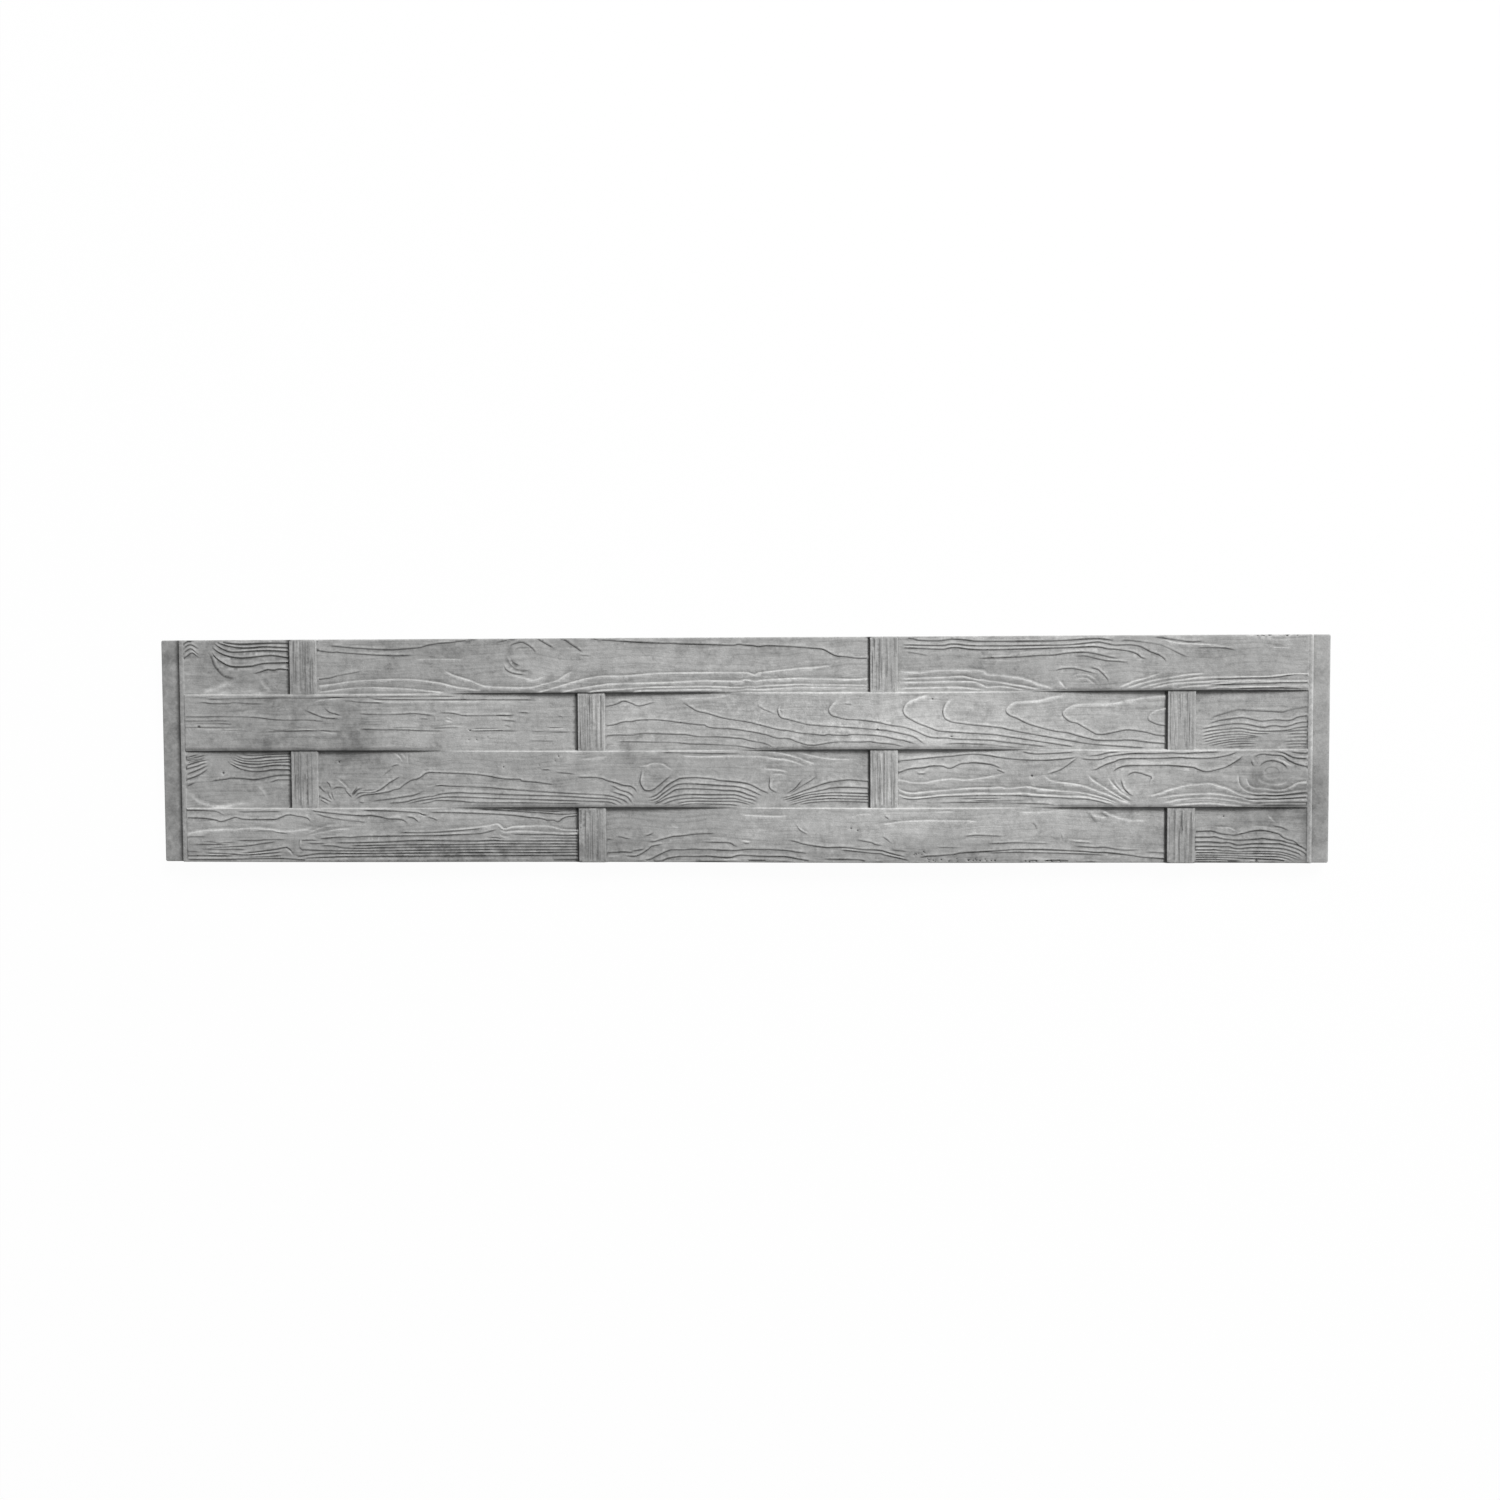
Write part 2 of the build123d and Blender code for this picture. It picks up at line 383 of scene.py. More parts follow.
def second_left_board():
    return [
        ledge(0.8, (-946, 94), (-910, 94)),
        ledge(1.2, (-935, 85.5), (-920, 85), (-910, 83.5), (-880, 83.5), (-870, 85), (-842, 83),
              (-815, 83)),
        ledge(1.1, (-957, 61), (-930, 60.5), (-890, 61), (-834, 59.5), (-800, 55.5), (-770, 54),
              (-745, 54.5), (-708, 52)),
        ledge(0.9, (-957, 53.5), (-890, 53.5), (-872, 54.5)),
        ledge(0.9, (-946, 49), (-898, 49), (-870, 47)),
        ledge(0.8, (-957, 42.5), (-868, 42)),
        ledge(-0.8, (-930, 38), (-860, 39), (-840, 38.5)),
        ledge(-0.8, (-902, 35), (-856, 35)),
        ledge(1.2, (-820, 34.5), (-798, 34.5), (-738, 36), (-680, 34.5)),
        ledge(0.8, (-810, 41), (-798, 37), (-770, 37.5)),
        ledge(-0.9, (-772, 39), (-738, 38), (-700, 32), (-684, 32)),
        ledge(1.1, (-920, 91), (-790, 93), (-740, 92.5), (-620, 94), (-480, 94.5)),
        ledge(-1.4, (-732, 83), (-720, 88), (-690, 91), (-676, 90.5)),
        ledge(1.7, (-748, 73), (-718, 60.5), (-702, 57.5), (-682, 56.5)),
        ledge(1.4, (-711, 77), (-704, 69.5), (-698, 66.5), (-690, 64.5), (-680, 61)),
        ledge(-0.9, (-693, 63), (-686, 60.5), (-678, 60)),
        ledge(0.3, (-793, 71), (-789, 75), (-783, 77), (-778, 74), (-779, 69), (-784, 66), (-790, 67),
              closed=True),
        ledge(1.4, (-680, 88), (-664, 87), (-650, 85), (-606, 83.5)),
        ledge(-0.8, (-667, 83), (-650, 76)),
        ledge(1.4, (-636, 91.5), (-600, 89.5), (-530, 89), (-345, 88)),
        ledge(-1.2, (-630, 88), (-614, 86), (-590, 85.5), (-500, 85.5), (-465, 85), (-430, 86)),
        ledge(1.4, (-654, 65.5), (-630, 64), (-596, 63.5), (-562, 65), (-546, 64.5), (-516, 60.5)),
        ledge(1.4, (-517, 63.5), (-510, 66), (-490, 65.5), (-470, 61.5), (-450, 61), (-384, 61)),
        ledge(1.4, (-547, 57.5), (-538, 56), (-527, 56)),
        ledge(1.1, (-519, 60), (-518, 55), (-520, 51)),
        ledge(-1.2, (-500, 60), (-496, 57), (-488, 55)),
        ledge(-1.2, (-502, 55), (-497, 52), (-488, 50)),
        ledge(0.6, (-652, 55.5), (-604, 55.5)),
        ledge(0.6, (-652, 51.5), (-604, 51.5)),
        ledge(0.6, (-652, 47), (-604, 47)),
        ledge(1.1, (-598, 40), (-570, 41), (-543, 40)),
        ledge(1.4, (-654, 39), (-610, 37.5), (-570, 37), (-542, 35.5), (-498, 35)),
        ledge(0.9, (-528, 40.5), (-510, 40), (-490, 41), (-472, 40.5)),
        ledge(-0.8, (-512, 43), (-480, 43), (-458, 42)),
        ledge(0.9, (-458, 38.5), (-408, 38.5)),
        ledge(1.2, (-462, 34.5), (-410, 35), (-372, 34)),
        ledge(-0.9, (-458, 36.5), (-404, 36.5)),
        ledge(1.1, (-412, 62), (-382, 61)),
        ledge(1.2, (-404, 53), (-376, 51.5)),
        ledge(1.1, (-400, 44), (-392, 43), (-386, 40)),
        ledge(-1.1, (-373, 63), (-366, 61), (-357, 60)),
        ledge(1.1, (-376, 65.5), (-364, 66), (-354, 64.5)),
        ledge(0.9, (-308, 61.5), (-303, 59.5), (-296, 58)),
        ledge(0.8, (-326, 43), (-322, 40), (-298, 39.5)),
        ledge(1.2, (-330, 33.5), (-310, 32.5), (-284, 32.5)),
        ledge(0.8, (-356, 33.5), (-325, 33.5)),
        ledge(-0.8, (-327, 38), (-286, 38)),
        ledge(0.8, (-362, 17.5), (-308, 17)),
        ledge(-0.8, (-352, 26.5), (-312, 26.5)),
    ]


def second_middle_board():
    return [
        ledge(1.7, (-224, 76.5), (-216, 77.5), (-202, 81.5), (-197, 84.5), (-190, 85), (-178, 81),
              (-172, 78), (-166, 77), (-158, 78), (-152, 80), (-134, 84.5)),
        ledge(1.7, (-224, 43), (-210, 44.5), (-200, 48), (-190, 50), (-180, 50), (-170, 52), (-154, 53),
              (-130, 52.5), (-70, 45), (-54, 44), (-50, 41.5), (-40, 39), (-26, 37.5), (-8, 37),
              (28, 32), (52, 27), (70, 21.5), (86, 21), (96, 18.5), (106, 14.5), (130, 9), (170, 14.5),
              (210, 14.5), (230, 15), (240, 13), (270, 10), (290, 4)),
        ledge(1.5, (-222, 25.5), (-208, 27), (-178, 27), (-158, 29.5), (-100, 28), (-86, 27.5),
              (-62, 24), (-26, 23.5), (10, 20.5), (22, 17.5), (50, 12), (68, 3)),
        ledge(1.2, (-210, 14.5), (-190, 15.5), (-110, 14), (-78, 11.5), (-50, 11), (-10, 9), (10, 7),
              (38, 2.5)),
        ledge(0.8, (-224, 10), (-208, 11.5)),
        ledge(-1.1, (-102, 89), (-70, 90.5), (-50, 90.5), (-30, 92.5), (-8, 96), half=1.5),
        ledge(1.8, (-92, 85), (-86, 79.5), (-78, 75), (-70, 69.5), (-62, 66.5), (-50, 64), (-18, 55),
              (20, 49), (70, 36.5), (90, 34), (110, 30), (136, 27.5), (150, 25.8), (156, 27.5),
              (166, 26.5), (188, 25.5), (196, 27), (224, 26.5), (250, 24), (274, 18.5), (286, 17),
              (310, 9)),
        ledge(1.7, (78, 79), (73, 72), (73, 63), (76, 57.5), (82, 54.5), (92, 52.5), (118, 45.5),
              (136, 43), (210, 38), (240, 35), (256, 34), (294, 26), (304, 22.5), (312, 17.5),
              (318, 12.5), (326, 9)),
        ledge(0.8, (35, 81), (44, 72.5), (60, 65.5), (72, 59.5)),
        ledge(1.1, (75, 71), (81, 64)),
        ledge(1.8, (176, 86), (166, 80), (159, 70), (162, 61), (170, 57.5), (190, 53), (210, 52),
              (240, 48), (262, 43), (276, 41), (290, 38.5), (310, 31), (320, 26), (330, 22.5), (342, 21),
              (358, 21), (376, 19), (430, 17), (450, 14.5), (530, 5), soft_start=24),
        ledge(0.9, (184, 80), (192, 78.5), (200, 78)),
        ledge(2.1, (334, 96), (320, 92.5), (302, 85.5), (291, 80), (285, 70), (286, 62.5), (290, 57.5),
              (296, 53.5), (312, 45), (330, 38.5), (340, 34), (352, 32), (390, 29.5), (442, 26),
              (454, 24), (575, 5), soft_start=60),
        ledge(1.8, (370, 88), (361, 84), (356, 78), (352, 66), (355, 54.5), (362, 50), (370, 47.5),
              (402, 43), (450, 38), (470, 33), (564, 16), (610, 9), (695, 3), soft_start=30),
        ledge(1.2, (348, 10), (380, 11.5), (430, 9), (450, 7), (478, 5)),
        ledge(2.1, (558, 93), (534, 89), (510, 83), (486, 82), (470, 79.5), (462, 74), (458, 66),
              (464, 59), (476, 54), (498, 43.5), (538, 32.5), (562, 29), (586, 22), (600, 19),
              (610, 16.5), (640, 15.5), (660, 16.5), (680, 15), (694, 13), (728, 10), soft_start=102),
        ledge(2.0, (728, 91), (690, 88), (674, 84.5), (656, 82.5), (644, 79), (630, 77.5), (602, 77.5),
              (578, 76.5), (564, 72), (555, 65), (554, 59), (559, 53), (566, 48), (578, 45), (586, 40.5),
              (604, 30), (611, 26.5), (622, 26), (642, 30), (662, 33.5), (682, 31.5), (698, 28.5),
              (712, 24.5), (728, 23), soft_start=180),
        ledge(1.7, (728, 70), (718, 68), (706, 64), (698, 57), (698, 50), (706, 45.5), (716, 42),
              (728, 40.5)),
        ledge(0.8, (542, 57), (553, 57)),
    ]


def second_right_board():
    return [
        ledge(1.1, (798, 51), (810, 57), (832, 63.5), (846, 67.5), (858, 66.5), (900, 64.5), (920, 63.5),
              (934, 67.5), (962, 72.5), half=1.4),
        ledge(1.8, (794, 42), (814, 48.5), (846, 53.5), (860, 53), (880, 48.5), (890, 48), (910, 50),
              (926, 48.5), (936, 50), (946, 54.5), (962, 57)),
        ledge(2.0, (784, 34), (810, 39.5), (834, 43), (850, 43.5), (862, 42.5), (880, 38.5), (890, 37.5),
              (900, 39.5), (910, 40), (920, 38.5), (930, 39.5), (950, 45.5), (962, 46)),
        ledge(1.7, (784, 27), (800, 31.5), (830, 34.5), (850, 36), (874, 32), (890, 30.5), (920, 31.5),
              (930, 32.5), (940, 35.5), (950, 37.5), (962, 38.5)),
        ledge(1.5, (783, 21.5), (814, 28), (850, 30.5), (874, 27), (904, 27)),
        ledge(1.5, (783, 16), (814, 23), (850, 25.8), (874, 22.5), (886, 21.5)),
        ledge(1.4, (784, 12), (800, 15), (814, 18.5), (850, 21.5), (882, 19.5)),
        ledge(1.4, (788, 8), (820, 14.5), (850, 18), (880, 17)),
        ledge(1.4, (796, 6), (830, 12.5), (850, 14), (880, 13.5)),
        ledge(1.2, (808, 4.5), (842, 9.5), (882, 10)),
        ledge(1.2, (820, 3), (858, 5.5), (880, 5)),
        ledge(1.4, (924, 29), (940, 31.5), (962, 32.5)),
        ledge(1.4, (924, 25), (940, 26.5), (962, 27)),
        ledge(1.7, (926, 19.5), (940, 21), (962, 21.5)),
        ledge(1.4, (918, 12), (936, 14), (962, 14.5)),
        ledge(1.4, (920, 8), (940, 9.5), (962, 9.5)),
        ledge(1.1, (924, 3.5), (950, 5), (962, 4.5)),
    ]


def third_left_board():
    return [
        ledge(0.9, (-963, 87.5), (-952, 89.5), (-944, 92), (-932, 94.5), half=0.8),
        ledge(0.9, (-963, 84.5), (-940, 88.5), (-919, 94), half=0.8),
        ledge(0.9, (-963, 81.5), (-954, 83.5), (-943, 84.5), (-931, 87), (-918, 91), half=0.8),
        ledge(0.9, (-963, 77.5), (-917, 88), half=0.8),
        ledge(1.5, (-963, 72.5), (-940, 80), (-915, 85.5)),
        ledge(1.4, (-963, 67), (-940, 73), (-930, 77), (-917, 79.5)),
        ledge(1.7, (-963, 57), (-940, 65.5), (-918, 76)),
        ledge(1.7, (-963, 48.5), (-940, 56), (-918, 70)),
        ledge(1.2, (-963, 37), (-940, 46), half=1.4),
        ledge(1.1, (-862, 93.5), (-840, 91.5), (-800, 93.5), (-773, 94)),
        ledge(1.4, (-874, 92), (-850, 85.5), (-810, 89), (-773, 90)),
        ledge(1.5, (-876, 89), (-862, 83.5), (-850, 81.5), (-830, 81), (-816, 82.5), (-773, 85)),
        ledge(1.5, (-879, 86), (-858, 78), (-830, 76.5), (-798, 79.5), (-773, 80)),
        ledge(1.5, (-883, 83), (-870, 76.5), (-846, 71), (-830, 71), (-798, 74.5), (-773, 73.5)),
        ledge(2.1, (-884, 80), (-872, 72.5), (-862, 68), (-850, 65), (-834, 63.5), (-818, 64.5),
              (-804, 66.5), (-773, 66)),
        ledge(1.8, (-918, 47), (-890, 50.5), (-880, 52.5), (-858, 51.5), (-846, 50), (-834, 50),
              (-796, 57), (-773, 57), half=1.2),
        ledge(1.4, (-814, 43), (-800, 48.5), (-790, 49), (-773, 49)),
        ledge(-1.7, (-951, 27), (-942, 16.5), (-934, 11.5), (-922, 7.5), (-898, 3.5), (-870, 8.5),
              (-850, 9), half=2.1),
        ledge(-0.8, (-836, 44), (-827, 36), (-818, 24), (-814, 12), half=2.1),
    ]


def third_middle_board():
    return [
        ledge(1.8, (-725, 38), (-716, 29), (-710, 25)),
        ledge(1.5, (-712, 46), (-706, 41), (-704.5, 34)),
        ledge(1.7, (-725, 20), (-716, 16.5), (-708, 12.5), (-699, 9)),
        ledge(1.5, (-724, 14.5), (-714, 9.5), (-706, 3.5)),
        ledge(1.1, (-703, 30), (-699, 34), (-694, 36), (-686, 36), (-678, 33)),
        ledge(1.2, (-709, 29), (-707, 21), (-701, 13)),
        ledge(1.1, (-703, 28), (-700, 18), (-697, 12)),
        ledge(-1.5, (-696, 52), (-684, 44), (-670, 30)),
        ledge(-0.9, (-699, 57), (-686, 55), (-672, 56), half=1.8),
        ledge(1.7, (-680, 34), (-674, 25.5), (-666, 17)),
        ledge(1.4, (-669, 20), (-664, 28.5), (-658, 36)),
        ledge(1.5, (-668, 19), (-658, 31.5), (-648, 34)),
        ledge(1.8, (-666, 16), (-656, 25.5), (-646, 26.5), (-634, 26.5), (-622, 29.5), (-608, 38.5),
              (-600, 44.5), (-580, 56)),
        ledge(1.2, (-653, 30), (-622, 32)),
        ledge(1.8, (-664, 13), (-650, 21.5), (-634, 23.5), (-606, 27.5), (-594, 31.5), (-584, 33.5),
              (-578, 38.5), (-564, 47.5), (-554, 50), (-546, 53.5), (-540, 58.5), (-532, 61.5),
              (-520, 61.5), (-450, 58.5), (-400, 51), (-372, 50), (-368, 47), (-350, 45.5), (-312, 41)),
        ledge(1.1, (-655, 12), (-650, 9), (-645, 10)),
        ledge(1.4, (-638, 10), (-620, 13.5), (-606, 15), (-570, 20.5), (-558, 22.5), (-540, 30)),
        ledge(1.5, (-608, 8.5), (-584, 9.5), (-570, 11.5), (-560, 14.5), (-538, 19), (-524, 20.5),
              (-516, 23.5), (-504, 25.5), (-478, 27), (-460, 26), (-430, 25.5), (-390, 23.5), (-300, 21),
              (-244, 17.5), (-220, 16.5), (-208, 14.5), (-198, 9.5), (-190, 4)),
        ledge(1.4, (-574, 6), (-558, 10.5), (-528, 16), (-490, 19.5), (-410, 17), (-244, 12),
              (-218, 10.5), (-210, 8.5), (-200, 4)),
        ledge(1.2, (-554, 6), (-530, 10.5), (-516, 13.5), (-480, 12.5), (-450, 10), (-350, 9.5),
              (-310, 8.5), (-266, 8.5)),
        ledge(1.2, (-530, 37.5), (-510, 39), (-490, 38), (-430, 36), (-390, 32.5), (-298, 26.5),
              (-244, 24), (-220, 22), (-194, 14.5), (-182, 5)),
        ledge(-1.1, (-540, 36), (-520, 39.5), (-508, 40)),
        ledge(1.2, (-598, 71), (-590, 74.5), (-582, 74.5)),
        ledge(0.8, (-616, 52), (-602, 64.5), (-592, 69)),
        ledge(-1.1, (-592, 95), (-584, 90), (-579, 84), (-577, 78)),
        ledge(-1.1, (-582, 94.5), (-574, 90.5), (-570, 82)),
        ledge(-0.9, (-570, 94), (-567.5, 84.5), (-567, 70)),
        ledge(1.4, (-336, 66.5), (-318, 66.5)),
        ledge(1.4, (-312, 61.5), (-290, 60.5), (-274, 58)),
        ledge(2.1, (-276, 53.5), (-244, 53), (-230, 51.5), (-222, 48), (-206, 43.5), (-194, 39.5),
              (-182, 38), (-176, 35.5), (-172, 31.5), (-169, 24)),
        ledge(1.8, (-219, 41), (-208, 36.5), (-200, 32), (-184, 27), (-179, 23.5), (-173, 16)),
        ledge(1.8, (-218, 30.5), (-198, 24), (-190, 21.5), (-184, 17.5), (-176, 6)),
        ledge(-1.2, (-270, 84), (-244, 85.5), (-238, 87), (-215, 88)),
        ledge(2.0, (-161, 68), (-162, 56.5), (-164, 44.5), (-159, 33.5), (-155, 30.5), (-148, 30),
              (-140, 33.5), (-130, 41.5), (-110, 58)),
        ledge(-1.7, (-166, 72), (-152, 73.5), (-146, 76.5), (-128, 76.5), (-116, 69.5), (-106, 64)),
        ledge(2.1, (-156, 18.5), (-146, 19.5), (-138, 22.5), (-130, 28.5), (-118, 39.5), (-100, 49.5),
              (-92, 51.5), (-70, 52.5), (-40, 50), (-28, 47.5), (6, 44), (26, 39.5), (42, 31),
              (50, 27.5), (58, 22.5)),
        ledge(2.0, (-152, 13.5), (-142, 14.5), (-134, 18.5), (-126, 25), (-106, 38.5), (-94, 41.5),
              (-80, 42), (-14, 38), (0, 37), (20, 32), (46, 20)),
        ledge(1.8, (-148, 9.5), (-136, 11.5), (-128, 17), (-110, 28.5), (-100, 32.5), (-80, 33.5),
              (-40, 32), (-22, 30.5), (-2, 29.5), (10, 27), (20, 23), (28, 20.5), (41, 15)),
        ledge(2.1, (-144, 5.5), (-132, 10.5), (-120, 16.5), (-110, 19.5), (-86, 23.5), (-50, 23),
              (-10, 23), (2, 22), (18, 16.5), (28, 14.5), (38, 9)),
        ledge(1.5, (-130, 5), (-104, 14.5), (-70, 17.5), (-46, 16.5), (-18, 17), (-2, 16.5), (10, 13),
              (22, 10), (36, 5)),
        ledge(1.4, (-106, 7), (-84, 11.5), (-60, 12), (-20, 11.5), (-2, 11.5), (14, 8.5), (28, 4)),
        ledge(1.4, (-102, 4), (-78, 7.5), (-50, 7), (-10, 6), (8, 3.5)),
        ledge(0.9, (-130, 95.5), (-20, 93.5), (12, 94.5)),
        ledge(-1.8, (-100, 91), (-64, 88.5), (-10, 89.5), (20, 88.5), (44, 88), (70, 84), (86, 82.5),
              (108, 75.5), (121, 70)),
        ledge(-1.7, (52, 96), (70, 94.5), (86, 91.5), (110, 84.5), (122, 79.5), (138, 74)),
        ledge(-1.5, (108, 94), (156, 84.5), (200, 82.5)),
        ledge(1.8, (57, 57), (58, 46.5), (57, 36.5), (60, 31.5), (66, 28), (74, 27)),
        ledge(-1.8, (43, 67), (60, 66.5), (82, 63.5), (91, 59.5)),
        ledge(-1.1, (58, 57), (78, 57.5), (88, 54)),
        ledge(1.1, (84, 22.5), (100, 33.5), (110, 45.5), (116, 51)),
        ledge(1.1, (88, 22.5), (100, 29.5), (110, 36.5), (130, 48.5), (139, 57)),
        ledge(1.8, (73, 17), (86, 18.5), (102, 24), (110, 27.5), (154, 42.5), (186, 47.5), (200, 47.5),
              (228, 45)),
        ledge(2.1, (78, 13.5), (92, 16.5), (120, 25), (150, 31.2), (162, 34), (190, 35), (228, 33.5)),
        ledge(1.7, (84, 11), (98, 14.5), (122, 22), (136, 23.5), (170, 26), (228, 24)),
        ledge(1.7, (88, 8), (130, 18.5), (170, 21), (228, 19)),
        ledge(1.7, (88, 4), (120, 12.5), (140, 14.5), (170, 16), (228, 14)),
        ledge(1.5, (106, 5.5), (130, 9.5), (170, 11), (228, 9.5)),
    ]


def third_right_board():
    return [
        ledge(1.7, (278, 80), (350, 87), (366, 88), (400, 91.5), (430, 89), (450, 85.5), (486, 82),
              (526, 81), (566, 84.5), (580, 88)),
        ledge(2.0, (277, 59), (290, 65), (320, 68.5), (330, 71), (350, 71.5), (362, 67.5), (370, 69.5),
              (380, 74.5), (390, 76), (410, 76.5), (436, 73), (453, 66)),
        ledge(1.4, (442, 65.5), (449, 63), (457, 59)),
        ledge(1.7, (308, 58), (324, 58)),
        ledge(-0.9, (308, 61), (322, 62)),
        ledge(-1.5, (277, 48), (290, 45.5), (298, 43), (324, 43), (334, 45.5), (366, 49.5), (390, 47.5),
              (422, 51.5), (436, 54.5), (455, 57.5)),
        ledge(-2.0, (278, 31), (286, 27.5), (294, 25.5), (304, 25), (320, 27), (400, 33.5), (430, 34),
              (450, 35), (462, 33), (492, 36), (506, 34), (534, 30.5), (570, 27.5), (590, 25),
              (620, 17.5), (646, 8)),
        ledge(-1.8, (278, 23), (290, 18), (312, 17.5), (350, 21.5), (410, 25), (450, 24.5), (490, 25),
              (510, 23), (550, 20.5), (590, 19.5), (604, 16.5), (620, 13), (644, 6)),
        ledge(1.2, (280, 17.5), (298, 14.5), (314, 15.5), (350, 19), (380, 20), (470, 21), (510, 19),
              (550, 17.5), (570, 16), (590, 15.5), (610, 12.5), (634, 6)),
        ledge(0.9, (376, 16.5), (455, 16.5)),
        ledge(1.1, (398, 12.5), (440, 12), (495, 12.5)),
        ledge(0.9, (340, 8.5), (400, 9.5), (510, 7.5), (545, 5)),
        ledge(-1.8, (522, 58), (526, 52.5), (532, 47.5), (542, 44.5), (570, 41), (590, 37), (618, 26.5),
              (630, 22.5), (650, 13.5), (670, 6)),
        ledge(1.5, (526, 57), (552, 66.5), (581, 88)),
        ledge(1.7, (483, 96), (510, 92), (560, 94), (575, 95.5)),
        ledge(1.7, (582, 86.5), (590, 83), (610, 82), (620, 83.5), (630, 87.5), (658, 91.5), (674, 92.5),
              (700, 92.5), (734, 93.5), (750, 92.5), (770, 93), (815, 95)),
        ledge(1.4, (592, 89), (610, 89.5), (630, 94), (650, 95)),
        ledge(2.0, (599, 64), (610, 66), (618, 70.5), (630, 75.5), (640, 78.5), (646, 81.5), (654, 83),
              (670, 84), (710, 84), (750, 85.5), (762, 84.5), (800, 84.5), (830, 89.5), (845, 96)),
        ledge(2.3, (636, 60), (642, 65.5), (650, 69.5), (662, 71.5), (680, 72), (730, 72), (764, 69.5),
              (774, 68), (780, 65), (790, 62), (800, 62.5), (820, 67.5), (830, 71.5), (846, 81.5),
              (854, 89)),
        ledge(2.1, (659, 53), (668, 59.5), (678, 60.5), (698, 54.5), (703, 51.5), (700, 45.5), (699, 37)),
        ledge(1.5, (651, 52), (656, 34.5), (666, 23.5), (675, 19)),
        ledge(-1.2, (700, 20), (722, 27.5)),
        ledge(-2.1, (596, 58), (602, 49.5), (616, 39.5), (656, 14.5), (670, 8.5)),
        ledge(-2.0, (630, 52), (636, 42.5), (650, 27.5), (658, 22.5), (673, 12)),
        ledge(-1.4, (640, 48), (653, 31), (662, 25)),
        ledge(-1.7, (706, 21.5), (730, 30.5), (762, 39), (776, 39.5), (786, 41.5), (800, 41.5),
              (820, 35.5), (830, 32.5), (850, 22.5), (864, 20), (900, 18.5), (940, 20), (962, 22.5),
              half=1.2),
        ledge(-1.5, (712, 17), (742, 21.5), (776, 24), (810, 24), (850, 17), (870, 13), (900, 13),
              (962, 15)),
        ledge(-1.4, (718, 9), (736, 11.5), (750, 15), (790, 17), (806, 16.5), (838, 13), (850, 10.5),
              (870, 8)),
        ledge(-0.9, (755, 11), (790, 13), (834, 9)),
        ledge(-1.5, (732, 4), (756, 6.5), (796, 8.5), (830, 5.5), (856, 4)),
        ledge(-2.0, (861, 52), (862, 44.5), (866, 37.5), (874, 33.5), (890, 32.5), (914, 29.5),
              (930, 33.5), (940, 39.5), (950, 43), (962, 44)),
        ledge(-1.8, (847, 58), (848, 42.5), (854, 32.5), (864, 27), (876, 24.5), (890, 25), (906, 23.5),
              (922, 24.5), (950, 29), (962, 30)),
        ledge(1.4, (864, 23), (880, 21.5), (890, 22), (910, 21), (940, 24), (962, 26)),
        ledge(1.4, (828, 21), (850, 16.5), (870, 14.8), (890, 16), (910, 15), (962, 18.7)),
        ledge(0.9, (868, 8), (910, 9.5), (962, 9.5)),
        ledge(0.8, (880, 5), (962, 5.5)),
        ledge(2.0, (870, 85), (880, 90), (890, 91), (900, 89.5), (920, 87.5), (932, 79), (950, 72),
              (962, 70)),
        ledge(2.0, (906, 95), (918, 94), (924, 92), (930, 88.5), (944, 84), (962, 83)),
        ledge(1.7, (930, 95.5), (950, 92.5), (962, 92.5)),
        ledge(-1.1, (917, 83), (928, 74.5), (937, 70)),
        ledge(-1.0, (878, 56), (883, 46), (892, 42), (903, 40), (914, 40), (924, 43), (930, 50),
              half=1.2),
        ledge(1.0, (879, 66), (884, 74), (893, 79), (904, 80), (916, 77), (925, 71), (931, 62), half=1.2),
        ledge(-0.45, (890, 60), (892, 53), (899, 50), (908, 50), (914, 54), (915, 62), (909, 68),
              (899, 69), (892, 66), closed=True),
        ledge(-0.9, (897, 84), (908, 83.6), (917, 80), (930, 71), half=1.2),
        ledge(1.1, (867, 80), (870, 76), (872, 70), half=1.2),
    ]


